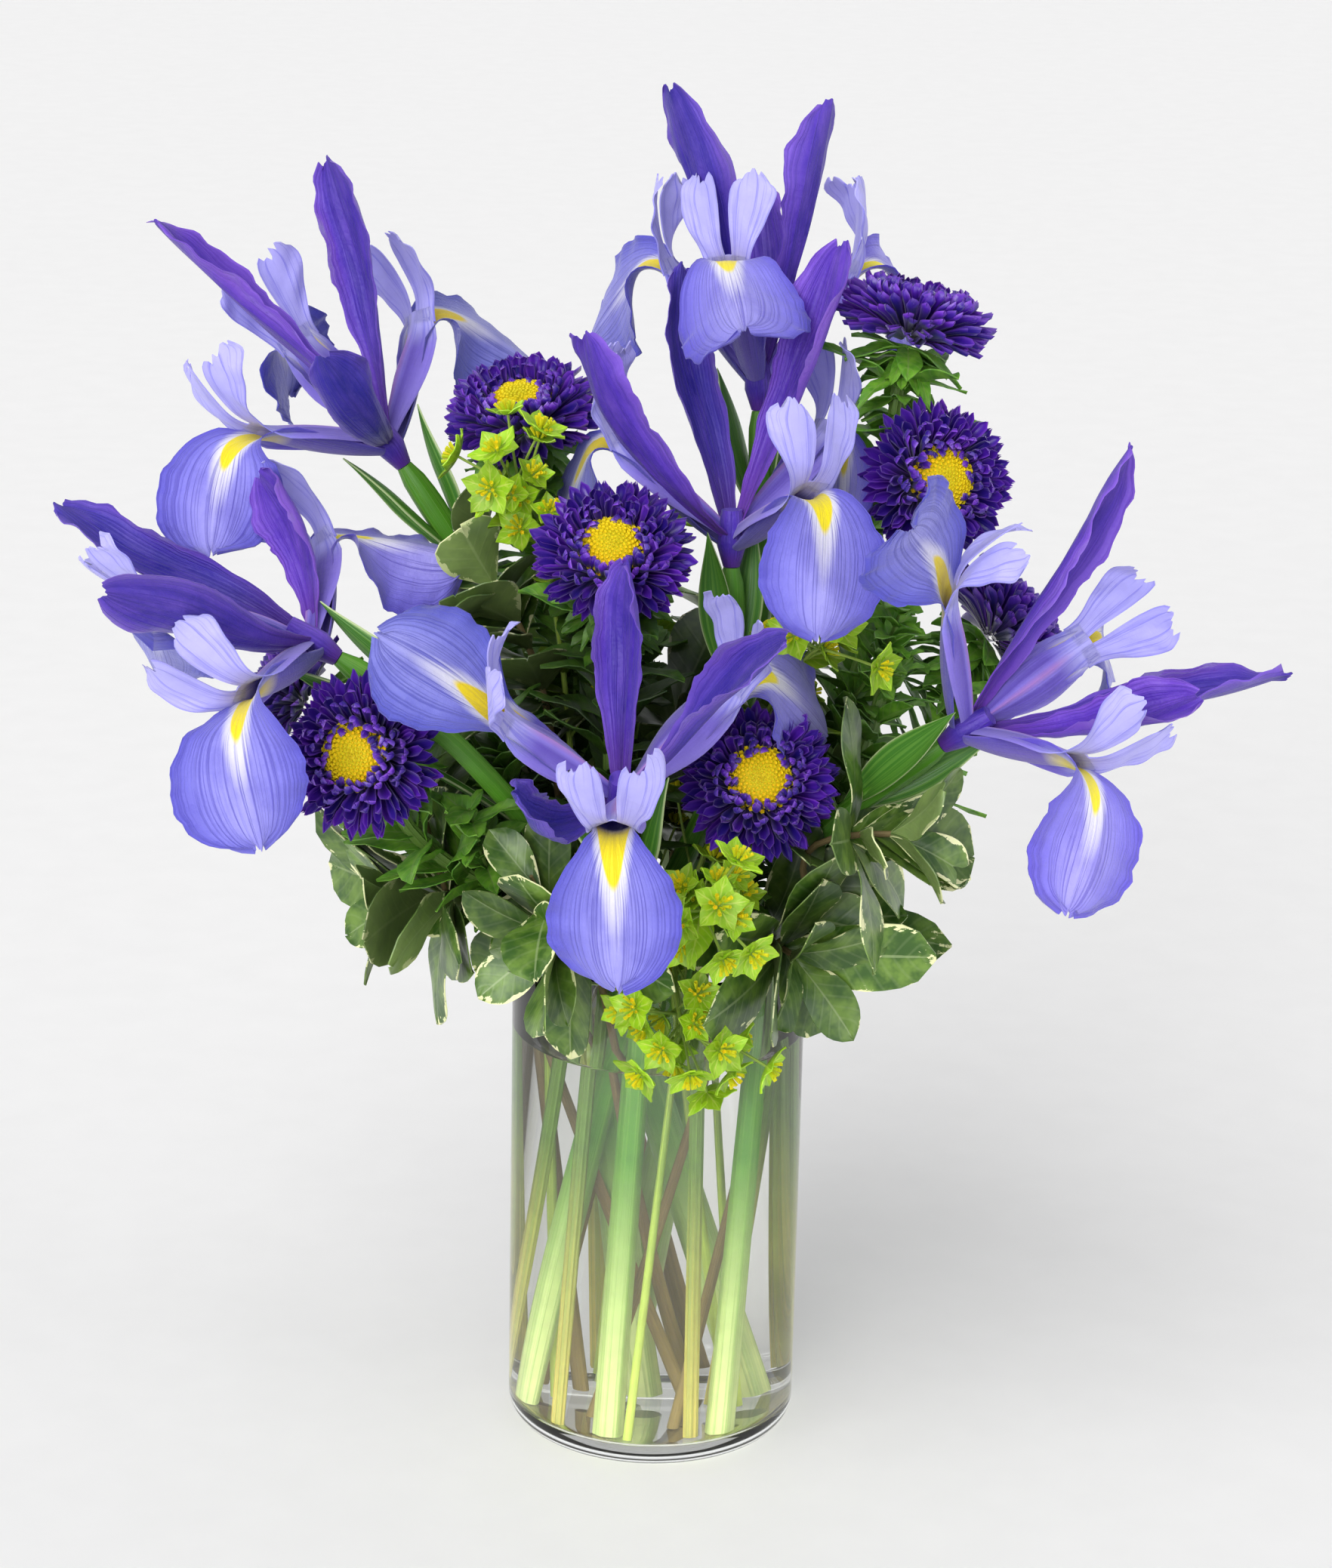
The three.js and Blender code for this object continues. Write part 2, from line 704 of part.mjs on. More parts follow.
// The head's rings from the disc's socket over three layers of florets to its back. A
// layer's tips and the notches between them alternate, and each is half a floret on.
function asterHead(aster) {
  const axis = polar(...aster.facing);
  const seat = asterSeat(aster);
  const columns = 2 * ASTER_FLORETS;
  const rings = [
    { radius: 9.9, height: 12, shift: 0 },
    { radius: 14.5, height: 20, notch: [-2.6, -3.4], shift: 0 },
    { radius: 15.6, height: 13.6, shift: 0 },
    { radius: 21.6, height: 16.5, notch: [-2.6, -3.6], shift: 1 },
    { radius: 20.5, height: 8.6, shift: 1 },
    { radius: ASTER_RADIUS, height: 9.4, notch: [-3.6, -3], shift: 0 },
    { radius: 5, height: 0, shift: 0 },
  ];
  const across = squareTo(axis);
  const deep = crossed(axis, across);
  const positions = [];
  for (const { radius, height, notch = [0, 0], shift } of rings) {
    for (let i = 0; i < columns; i += 1) {
      const isNotch = (i + shift) % 2;
      const angle = 2 * Math.PI * i / columns;
      const reach = radius + isNotch * notch[0];
      positions.push(...along(
        seat,
        [axis, height + isNotch * notch[1]],
        [across, reach * Math.cos(angle)],
        [deep, reach * Math.sin(angle)],
      ));
    }
  }
  const last = rings.length - 1;
  positions.push(...along(seat, [axis, rings[0].height]), ...along(seat, [axis, rings[last].height]));
  const index = [];
  for (let i = 0; i < columns; i += 1) {
    const next = (i + 1) % columns;
    for (let ring = 0; ring < last; ring += 1) {
      const [a, b] = [ring * columns + i, ring * columns + next];
      const [c, d] = [a + columns, b + columns];
      index.push(a, c, b, b, c, d);
    }
    index.push(rings.length * columns, i, next);
    index.push(rings.length * columns + 1, last * columns + next, last * columns + i);
  }
  return solidFrom(geometryFrom(positions, index));
}

// The yellow centre: a low dome whose buds stand up ring by ring.
function asterDisc(aster) {
  const axis = polar(...aster.facing);
  const seat = along(asterSeat(aster), [axis, 12 + GAP]);
  const profile = [[0, 0], [DISC_RADIUS - 1.4, 0], [DISC_RADIUS - 0.6, 2.6], [5.4, 4], [0, 4.6]];
  const body = new THREE.LatheGeometry(profile.map(([r, h]) => new THREE.Vector2(r, h)), 2 * DISC_BUDS);
  const position = body.attributes.position;
  for (let i = 0; i < position.count; i += 1) {
    const reach = Math.hypot(position.getX(i), position.getZ(i));
    if (position.getY(i) > 1 && reach > 1) {
      const column = Math.round(Math.atan2(position.getX(i), position.getZ(i)) / (Math.PI / DISC_BUDS));
      const ring = reach > 7 ? 1 : 0;
      const raised = (Math.abs(column) + ring) % 2 ? 0.9 : -0.2;
      position.setY(i, position.getY(i) + raised);
    }
  }
  body.rotateX(Math.PI / 2);
  body.applyQuaternion(new THREE.Quaternion().setFromUnitVectors(new THREE.Vector3(0, 0, 1), axis));
  body.translate(seat.x, seat.y, seat.z);
  return solidFrom(body);
}

function asterStemPath(aster) {
  const axis = polar(...aster.facing);
  const seat = asterSeat(aster);
  return stemPath(aster, [
    along(seat, [axis, -26], [new THREE.Vector3(0, 0, 1), -30]),
    along(seat, [axis, -14]),
    along(seat, [axis, -GAP - HUB_THICKNESS / 2]),
  ]);
}

function asterStem(aster) {
  const path = asterStemPath(aster);
  return stalk(path, stemSteps(path, 4), () => ASTER_STEM_RADIUS, STEM_SIDES);
}

// The surface of a leaf from a point on a stem: out is the way it leaves, up the way its
// face looks, and its width is a share of half along its length.
function leafSurface({ start, out, up, length, half, width, droop }) {
  const side = crossed(up, out);
  const face = crossed(out, side);
  const path = softPath([
    start,
    along(start, [out, length * 0.45], [face, length * 0.06]),
    along(start, [out, length * (1 - droop * 0.2)], [face, -droop * length * 0.3]),
  ]);
  return (u, v) => {
    const onward = path.getTangent(u);
    const across = side.clone().addScaledVector(onward, -side.dot(onward)).normalize();
    return along(path.getPoint(u), [across, half * width(u) * v]);
  };
}

// Ways a leaf may stand: its swing about the stem and its length as a share
const ATTITUDES = [[0, 1], [12, 1], [-12, 1], [22, 0.9], [-22, 0.9], [0, 0.65]];

// Leaves that spread from one joint of a stem, as one closed body: each grows from a side
// of the joint's hub. A leaf takes the first of its attitudes that is clear of other
// nodes, and is left out where none is.
function growRosette(name, { centre, axis, count, turn, hub, steps, leafAt }) {
  const across = squareTo(axis);
  const heading = (angle) => across.clone().applyAxisAngle(axis, THREE.MathUtils.degToRad(angle));
  const positions = [];
  const addPair = (point, normal, thickness) => {
    positions.push(...along(point, [normal, thickness / 2]), ...along(point, [normal, -thickness / 2]));
    return positions.length / 3 - 2;
  };
  const ring = evenSteps(count).slice(1).map((share) => {
    const angle = turn + 360 * (share - 0.5 / count);
    return addPair(along(centre, [heading(angle), hub]), axis, HUB_THICKNESS);
  });
  ring.unshift(ring.pop());
  const index = [];
  const quad = (a, b, c, d) => index.push(a, b, c, a, c, d);
  for (let i = 0; i < count; i += 1) {
    let [right, left] = [ring[i], ring[(i + 1) % count]];
    const surface = ATTITUDES.map(([swing, share]) => {
      const out = heading(turn + 360 * i / count + swing);
      return leafSurface({ start: centre, up: axis, ...leafAt(out, i, share) });
    }).find((candidate) => isClear(sheet(candidate, [0.08, ...steps.slice(1)], 1, HUB_THICKNESS), name));
    for (const u of surface ? steps.slice(1) : []) {
      const onward = surface(Math.min(u + 1e-3, 1), 0).sub(surface(Math.max(u - 1e-3, 0), 0));
      const normal = crossed(onward, surface(u, 1).sub(surface(u, -1)));
      const nextRight = addPair(surface(u, -1), normal, LEAF_THICKNESS);
      const nextLeft = addPair(surface(u, 1), normal, LEAF_THICKNESS);
      quad(right, nextRight, nextLeft, left);
      quad(left + 1, nextLeft + 1, nextRight + 1, right + 1);
      quad(nextRight, right, right + 1, nextRight + 1);
      quad(left, nextLeft, nextLeft + 1, left + 1);
      [right, left] = [nextRight, nextLeft];
    }
    quad(left, right, right + 1, left + 1);
    if (i > 1) {
      index.push(ring[0], ring[i - 1], ring[i], ring[0] + 1, ring[i] + 1, ring[i - 1] + 1);
    }
  }
  const node = nodes.get(name);
  setNode(name, node.solid.add(solidFrom(geometryFrom(positions, index))), node.material);
}

// Spoon-shaped bracts under the head, then leaves at joints down the stem.
function growAsterLeaves(aster) {
  const axis = polar(...aster.facing);
  const path = asterStemPath(aster);
  const steps = stemSteps(path, 4);
  const length = path.getLength();
  const stem = `${aster.name}_stem`;
  growRosette(stem, {
    centre: along(asterSeat(aster), [axis, -GAP - HUB_THICKNESS / 2]),
    axis, count: BRACTS, turn: 20, hub: 4.6, steps: [0, 0.6, 1],
    leafAt: (out, i, share) => ({
      out: along(out, [axis, -0.3]).normalize(), length: 24 * share, half: 4.6, droop: 0.3,
      width: (u) => swell(u, 0.4, 0.6, 0.25, 1, 1),
    }),
  });
  for (const [joint, distance] of aster.joints.entries()) {
    const u = 1 - distance / length;
    const onward = path.getTangent(u);
    growRosette(stem, {
      centre: onStem(path, steps, u), axis: onward, count: 3, turn: 55 * joint, hub: 3.2, steps: [0, 0.5, 1],
      leafAt: (out, i, share) => ({
        out: along(out, [onward, 0.6]).normalize(), length: 36 * share, half: 6.5, droop: 0.5,
        width: (w) => swell(w, 0.3, 0.5, 0.15, 1, 1),
      }),
    });
  }
}

// Pittosporum

function twigPath(spray) {
  const end = vec(spray.end);
  const onward = polar(...spray.points);
  return stemPath(spray, [along(end, [onward, -34], [new THREE.Vector3(0, 0, 1), 6]), end]);
}

function twig(spray, radius, sides) {
  const path = twigPath(spray);
  return stalk(path, stemSteps(path, 4), (u) => radius * (1 - 0.45 * u), sides);
}

// Blunt oval leaves in two whorls at the twig's end, the outer leaves longer.
function growPittosporumLeaves(spray) {
  const path = twigPath(spray);
  const steps = stemSteps(path, 4);
  const length = path.getLength();
  for (const [whorl, count] of [[0, 5], [1, 4]]) {
    const u = 1 - (15 - 14 * whorl) / length;
    const onward = path.getTangent(u);
    growRosette(spray.name, {
      centre: onStem(path, steps, u), axis: onward, count, turn: 40 * whorl, hub: 2.4,
      steps: [0, 0.62, 1],
      leafAt: (out, i, share) => ({
        out: along(out, [onward, 0.25 + 0.75 * whorl]).normalize(),
        length: (50 - 12 * whorl - 3 * (i % 2)) * share,
        half: 11 - 2.5 * whorl,
        droop: 0.35,
        width: (w) => swell(w, 0.1, 0.62, 0.45, 1.1, 0.7),
      }),
    });
  }
}

// Bupleurum

// A shallow five-pointed cup of bracts on the end of its ray, as one closed body.
function bractStar(root, tip, axis) {
  const columns = 10;
  const across = squareTo(axis);
  const out = (i) => across.clone().applyAxisAngle(axis, 2 * Math.PI * i / columns);
  const positions = [];
  for (const height of [0, -0.8]) {
    for (let i = 0; i < columns; i += 1) {
      const isNotch = i % 2;
      const reach = BRACT * (isNotch ? 0.5 : 1);
      positions.push(...along(tip, [out(i), reach], [axis, height + (isNotch ? 0.8 : 2.4)]));
    }
  }
  for (const end of [along(tip, [axis, -1]), root]) {
    for (let i = 0; i < columns; i += 2) {
      positions.push(...along(end, [out(i), RAY_RADIUS]));
    }
  }
  positions.push(...tip);
  const [neck, foot, heart] = [2 * columns, 2.5 * columns, 3 * columns];
  const index = [neck + 5, neck + 8, neck + 7, neck + 5, neck + 9, neck + 8, neck + 5, neck + 7, neck + 6];
  for (let i = 0; i < columns; i += 1) {
    const next = (i + 1) % columns;
    index.push(heart, i, next, i, columns + i, next, next, columns + i, columns + next);
  }
  for (let i = 0; i < columns / 2; i += 1) {
    const next = (i + 1) % (columns / 2);
    const [tipPoint, notch, nextTip] = [columns + 2 * i, columns + 2 * i + 1, columns + 2 * next];
    index.push(neck + i, notch, tipPoint, neck + i, neck + next, notch, neck + next, nextTip, notch);
    index.push(neck + i, foot + i, neck + next, neck + next, foot + i, foot + next);
  }
  return solidFrom(geometryFrom(positions, index));
}

// Rays that part at the stem's end, each with its star of bracts, and one star among them.
function growBupleurumRays(spray) {
  const end = vec(spray.end);
  const onward = polar(...spray.points);
  const around = crossed(onward, new THREE.Vector3(0, 0, 1));
  const ray = (aim, length) => bractStar(along(end, [onward, -1]), along(end, [aim, length]), aim);
  grow(spray.name, [15, 11], (length) => ray(onward, length));
  for (let i = 0; i < RAYS; i += 1) {
    grow(spray.name, [0, 15, -15, 30, -30], (turn) => {
      const out = around.clone().applyAxisAngle(onward, THREE.MathUtils.degToRad(360 * i / RAYS + turn));
      return ray(along(out, [onward, 0.8]).normalize(), 21 + 3 * (i % 2));
    });
  }
}

// The whole bouquet, stems first and then what has to keep clear of them

for (const iris of IRISES) {
  setNode(`${iris.name}_stem`, irisStem(iris), irisGreen);
  setNode(`${iris.name}_bloom`, irisBloom(iris), irisBlue);
}
for (const aster of ASTERS) {
  setNode(`${aster.name}_stem`, asterStem(aster), asterGreen);
  setNode(`${aster.name}_florets`, asterHead(aster), asterViolet);
  setNode(`${aster.name}_disc`, asterDisc(aster), asterYellow);
}
for (const spray of PITTOSPORUM) {
  setNode(spray.name, twig(spray, WOODY_RADIUS, WOODY_SIDES), pittosporumGreen);
}
for (const spray of BUPLEURUM) {
  setNode(spray.name, twig(spray, BUPLEURUM_RADIUS, BUPLEURUM_SIDES), bupleurumGreen);
}
setNode('vase', vaseSolid(), glass);
setNode('water', waterSolid([
  ...IRISES.map((iris) => stemHole(iris, IRIS_FOOT_RADIUS, IRIS_STEM_SIDES)),
  ...ASTERS.map((aster) => stemHole(aster, ASTER_STEM_RADIUS, STEM_SIDES)),
  ...PITTOSPORUM.map((spray) => stemHole(spray, WOODY_RADIUS, WOODY_SIDES)),
  ...BUPLEURUM.map((spray) => stemHole(spray, BUPLEURUM_RADIUS, BUPLEURUM_SIDES)),
]), water);

for (const iris of IRISES) {
  const stem = `${iris.name}_stem`;
  for (const turn of [0, 180]) {
    grow(stem, SPATHE_WAYS, ([swing, opening]) => spathe(iris, iris.spatheHeading + turn + swing, opening));
  }
  if (iris.strap) {
    grow(stem, [0, 15, -15, 30, -30], (swing) => strapLeaf(iris, {
      ...iris.strap, heading: iris.strap.heading + swing,
    }));
  }
}
for (const spray of PITTOSPORUM) {
  growPittosporumLeaves(spray);
}
for (const spray of BUPLEURUM) {
  growBupleurumRays(spray);
}
for (const aster of ASTERS) {
  growAsterLeaves(aster);
}

const bouquet = new THREE.Group();
for (const [name, { solid, material }] of nodes) {
  const mesh = new THREE.Mesh(geometryOf(solid), material.clone());
  mesh.name = name;
  bouquet.add(mesh);
}

export default bouquet;
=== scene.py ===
"""A bouquet of blue Dutch irises and purple China asters with variegated pittosporum and
bupleurum, standing in water in a clear glass cylinder vase.

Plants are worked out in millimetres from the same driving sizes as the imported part, and
every mesh is in metres. A heading is in degrees from +X towards +Y, a rise is above level.
"""

import math

import bmesh
import bpy
import numpy as np
from mathutils import Matrix, Vector
from mathutils.bvhtree import BVHTree


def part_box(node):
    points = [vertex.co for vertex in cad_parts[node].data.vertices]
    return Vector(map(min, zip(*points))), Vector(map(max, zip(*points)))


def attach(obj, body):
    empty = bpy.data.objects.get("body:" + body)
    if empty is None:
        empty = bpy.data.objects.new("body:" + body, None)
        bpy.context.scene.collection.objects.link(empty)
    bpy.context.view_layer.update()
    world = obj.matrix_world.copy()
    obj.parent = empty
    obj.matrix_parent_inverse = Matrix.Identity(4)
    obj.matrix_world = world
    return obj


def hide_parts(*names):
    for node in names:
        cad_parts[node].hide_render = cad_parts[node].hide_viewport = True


bl_info = {
    "name": "Iris Bouquet in a Vase",
    "version": (1, 0, 0),
    "blender": (4, 5, 0),
    "location": "View3D > Sidebar > Bouquet",
    "description": "Models irises, asters and foliage in a glass vase around a packed part",
    "category": "Object",
}

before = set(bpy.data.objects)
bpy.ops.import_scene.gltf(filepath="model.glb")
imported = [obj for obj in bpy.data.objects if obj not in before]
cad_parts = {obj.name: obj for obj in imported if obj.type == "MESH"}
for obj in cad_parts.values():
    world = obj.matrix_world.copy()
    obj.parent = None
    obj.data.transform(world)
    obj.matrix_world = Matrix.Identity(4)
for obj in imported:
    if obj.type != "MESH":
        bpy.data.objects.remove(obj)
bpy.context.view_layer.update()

MM = 0.001
UP = np.array([0.0, 0.0, 1.0])

# Vase and water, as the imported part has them
VASE_BOX = [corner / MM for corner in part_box("vase")]
VASE_RADIUS = round(VASE_BOX[1].x)
VASE_HEIGHT = round(VASE_BOX[1].z)
VASE_WALL = 3
VASE_FLOOR = 8
VASE_SIDES = 128
WATER_LEVEL = round(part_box("water")[1].z / MM)
# The height at which stems pass the mouth
BEND_LEVEL = 185
# The gap between touching solids
GAP = 0.3
# How far the vase's foot and the corner inside it are rounded
FOOT_BEND = 9
CORNER_BEND = 4
# How far the water reaches into the glass, and how it creeps up it
WETTING = 0.05
CREEP_WIDTH = 3.2
CREEP_HEIGHT = 1.6

# Irises
HAFT = 55
FALL_BLADE = 50
FALL_WIDEST = 0.78
STANDARD_HALF_WIDTH = 12.5
CREST = 34
IRIS_FOOT_RADIUS = 4.8
IRIS_NECK_RADIUS = 3.4
OVARY_RADIUS = 4.4
OVARY_LENGTH = 34
SPATHE = 52
SPATHE_HALF_WIDTH = 6.5
STRAP_HALF_WIDTH = 4.6

# Asters and foliage
ASTER_STEM_RADIUS = 2.3
HEAD_DEPTH = 9
HUB_THICKNESS = 1.4
HEAD_BRACT_HALF_WIDTH = 4.6
ASTER_LEAF_HALF_WIDTH = 6.5
DISC_RADIUS = 9.3
DISC_HEIGHT = 12.3
DISC_DOME = 4.4
GOLDEN_TURN = 137.508
WOODY_RADIUS = 1.9
WHORL_LEAF_HALF_WIDTH = 11
BUPLEURUM_RADIUS = 1.5
BRACT = 9.5
RAYS = 3
BRACTS = 5
FLOWERS = 9
FLOWER_HEIGHT = 3.4
TUFT_RADIUS = 3.4
# Random draws start from these
HEAD_SEED = 100
ASTER_STEM_SEED = 200
PITTOSPORUM_SEED = 300
BUPLEURUM_SEED = 400
# No added leaf hangs lower than the first of these, and few grow from lower than the second
LEAF_FLOOR = 132
COLLAR = 190
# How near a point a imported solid's corner must be to tell that a leaf ends there
CORNER_REACH = 0.55

# An iris has its bloom's seat, where its stem stands on the vase's floor and where it
# passes the mouth. A fall is the heading and rise of its haft, then of its blade, how
# steeply that folds along its middle and how far it turns past the knee. A standard is its
# heading, rise, length, bow and how far it turns by its tip.
IRISES = {
    "iris_upper_left": {
        "seat": (-90, 37, 331), "foot": (24, 9), "mouth": (-17, 19), "spathe": 200,
        "falls": [
            (85, 48, 28, -20, 0.6, 1.3), (210, 16, 250, -40, 0.1, -0.8), (152, 42, 105, -30, 0.3, -0.6),
        ],
        "standards": [(243, 42, 70, 10, 0.1), (184, 45, 117, 0, -0.6), (140, 70, 107, 4, 0.4)],
    },
    "iris_left": {
        "seat": (-105, -52, 288), "foot": (-2, 12), "mouth": (-20, 0), "spathe": 60,
        "strap": (105, 195, 38, 74),
        "falls": [(100, 26, 10, -8, 0.6, 1.5), (246, 2, 270, -52, 0.1, -0.7), (192, 18, 100, -40, 0.3, 0.0)],
        "standards": [(228, 22, 105, 6, 0.4), (163, 23, 107, 0, 0.7), (125, 45, 72, 5, 0.3)],
    },
    "iris_back": {
        "seat": (30, 45, 351), "foot": (-7, 22), "mouth": (13, 28), "spathe": 330,
        "strap": (120, 60, 60, 88),
        "falls": [(238, 66, 275, -8, 0.8, 0.0), (155, 52, 135, -35, 0.2, -0.7), (20, 54, 50, -28, 0.3, 0.6)],
        "standards": [(90, 50, 85, 6, -0.6), (350, 79, 108, 3, -0.1), (190, 73, 115, 2, 0.3)],
    },
    "iris_centre": {
        "seat": (21, -5, 309), "foot": (-36, -7), "mouth": (-4, -12), "spathe": 240,
        "falls": [(302, 37, 280, -45, 0.1, 0.2), (160, 42, 205, -60, 0.3, -0.6), (38, 46, 50, -72, 0.2, 0.0)],
        "standards": [(112, 62, 105, 5, 0.3), (28, 70, 113, 2, 0.8), (217, 54, 105, 8, 0.1)],
    },
    "iris_front": {
        "seat": (-13, -70, 242), "foot": (-13, -33), "mouth": (-4, -29), "spathe": 20,
        "falls": [(268, 14, 278, -69, 0.1, 0.0), (208, 42, 180, 37, 0.1, -0.5), (22, 48, 40, -27, 0.1, 0.9)],
        "standards": [(88, 84, 84, 2, -1.1), (313, 46, 105, 0, 0.1), (234, 22, 60, 10, -0.6)],
    },
    "iris_right": {
        "seat": (91, -35, 258), "foot": (22, -29), "mouth": (33, -24), "spathe": 30,
        "strap": (44, 165, 66, 66),
        "falls": [(262, 76, 245, 37, 0.3, -0.8), (315, 7, 276, -52, 0.1, 0.3), (20, 32, 70, -30, 0.2, 0.6)],
        "standards": [(338, 18, 90, 5, 1.4), (12, 59, 115, 0, 0.0), (1, 13, 116, 4, -0.6)],
    },
}

# An aster has its head's centre and the way that faces, and its joints' distances below it
ASTERS = {
    "aster_upper_left": {
        "centre": (-50, 25, 353), "facing": (245, 66), "foot": (-9, 36), "mouth": (-14, 34),
        "joints": [22],
    },
    "aster_centre": {
        "centre": (-18, -36, 320), "facing": (270, 48), "foot": (-29, -27), "mouth": (-17, -22),
        "joints": [22],
    },
    "aster_top_right": {
        "centre": (80, 22, 388), "facing": (20, 76), "foot": (16, 1), "mouth": (35, 8),
        "via": [(79, 24, 305)], "joints": [16, 36],
    },
    "aster_right": {
        "centre": (88, 2, 338), "facing": (292, 18), "foot": (38, 12), "mouth": (41, -9),
        "via": [(75, 7, 257)], "joints": [24],
    },
    "aster_left": {
        "centre": (-96, -76, 263), "facing": (252, 14), "foot": (-38, 10), "mouth": (-25, -27),
        "joints": [24],
    },
    "aster_front": {
        "centre": (31, -50, 249), "facing": (275, 30), "foot": (13, -34), "mouth": (13, -42),
        "joints": [24],
    },
    "aster_far_left": {
        "centre": (-129, 22, 254), "facing": (175, 25), "foot": (-24, 32), "mouth": (-37, 13),
        "joints": [24],
    },
    "aster_far_right": {
        "centre": (118, 52, 276), "facing": (20, 35), "foot": (24, 32), "mouth": (30, 14),
        "joints": [24],
    },
}

# A twig or a spray has its end and the way that points
PITTOSPORUM = {
    "pittosporum_front_left": {
        "end": (-34, -60, 198), "points": (235, 5), "foot": (9, 18), "mouth": (-21, -41),
    },
    "pittosporum_front_right": {
        "end": (44, -46, 188), "points": (310, 0), "foot": (-16, -15), "mouth": (26, -33),
    },
    "pittosporum_right": {
        "end": (75, -50, 232), "points": (345, 15), "foot": (7, -24), "mouth": (41, -13),
        "via": [(50, -44, 203)],
    },
    "pittosporum_left": {
        "end": (-83, -26, 198), "points": (195, 5), "foot": (10, -2), "mouth": (-44, 1),
    },
    "pittosporum_upper_left": {
        "end": (-62, 12, 301), "points": (150, 45), "foot": (-16, 12), "mouth": (-32, 20),
    },
    "pittosporum_back_left": {
        "end": (-50, 60, 205), "points": (125, 5), "foot": (9, 39), "mouth": (-18, 41),
    },
    "pittosporum_back": {
        "end": (10, 72, 215), "points": (85, 10), "foot": (-25, 14), "mouth": (3, 42),
    },
    "pittosporum_back_right": {
        "end": (62, 48, 210), "points": (40, 10), "foot": (33, 23), "mouth": (30, 31),
    },
}

BUPLEURUM = {
    "bupleurum_front": {
        "end": (15, -86, 217), "points": (285, 25), "foot": (-7, -39), "mouth": (9, -35),
        "via": [(14, -57, 201)],
    },
    "bupleurum_front_low": {
        "end": (8, -66, 167), "points": (285, -45), "foot": (23, -3), "mouth": (15, -31),
    },
    "bupleurum_left": {
        "end": (-51, -2, 335), "points": (230, 55), "foot": (-24, 1), "mouth": (-27, 17),
    },
    "bupleurum_right": {
        "end": (50, -30, 289), "points": (300, 40), "foot": (21, -7), "mouth": (3, -28),
    },
    "bupleurum_back": {
        "end": (-20, 66, 290), "points": (100, 45), "foot": (-10, 30), "mouth": (-3, 22),
    },
}

# Layers of an aster's ray florets: how many, their half-width, and the radius and height
# above the head's seat of each one's root, bend and tip
FLORET_LAYERS = [
    (22, 1.25, (9.6, 10.0), (11.9, 15.6), (9.8, 18.2)),
    (28, 1.45, (9.4, 9.4), (14.0, 17.6), (13.6, 20.4)),
    (32, 1.6, (9.0, 8.4), (17.0, 18.2), (17.8, 19.8)),
    (36, 1.7, (8.6, 7.0), (20.2, 16.4), (21.6, 17.2)),
    (38, 1.75, (8.2, 5.6), (22.6, 13.8), (24.6, 13.4)),
    (38, 1.8, (7.8, 4.2), (23.8, 10.6), (26.6, 9.4)),
    (36, 1.75, (7.0, 2.8), (23.2, 7.2), (26.8, 5.2)),
    (30, 1.7, (6.0, 1.6), (20.4, 4.2), (24.6, 1.6)),
]

# The photograph's view: a lens of 92 mm on a 36 mm frame's long side
CAMERA_PLACE = (1.01, -1287.6, 637.6)
CAMERA_DOWN = 17.5
CAMERA_ROLL = 1.24
CAMERA_LENS = 92.0

# What the lights face, in metres
BUNCH_MIDDLE = (0, 0, 0.25)


# Colours and materials

# How far red, green and blue light go in a leaf and in a petal, as shares of the depth given
LEAF_REACH = (0.4, 0.9, 0.2)
PETAL_REACH = (0.7, 0.6, 1.0)
# Where leaves get painted shade, in metres, and how fast that painted shade ends along each axis
BUNCH_HEART = (0.0, 0.0, 0.235)
BUNCH_FALL = (8.4, 9.6, 8.0)


def from_hex(text):
    """The linear colour of an sRGB hex value."""
    parts = [int(text[i:i + 2], 16) / 255 for i in (1, 3, 5)]
    return tuple(c / 12.92 if c <= 0.04045 else ((c + 0.055) / 1.055) ** 2.4 for c in parts) + (1.0,)


def set_inputs(tree, node, inputs):
    """Gives a node its inputs: each is a value, or the node or socket that it comes from."""
    for key, value in inputs.items():
        if isinstance(value, bpy.types.Node):
            value = next(output for output in value.outputs if output.enabled)
        if isinstance(value, bpy.types.NodeSocket):
            tree.links.new(value, node.inputs[key])
        else:
            node.inputs[key].default_value = value


def add_node(tree, kind, inputs=None, **settings):
    """Adds a shader node with these settings and inputs."""
    made = tree.nodes.new("ShaderNode" + kind)
    for name, value in settings.items():
        setattr(made, name, value)
    set_inputs(tree, made, inputs or {})
    return made


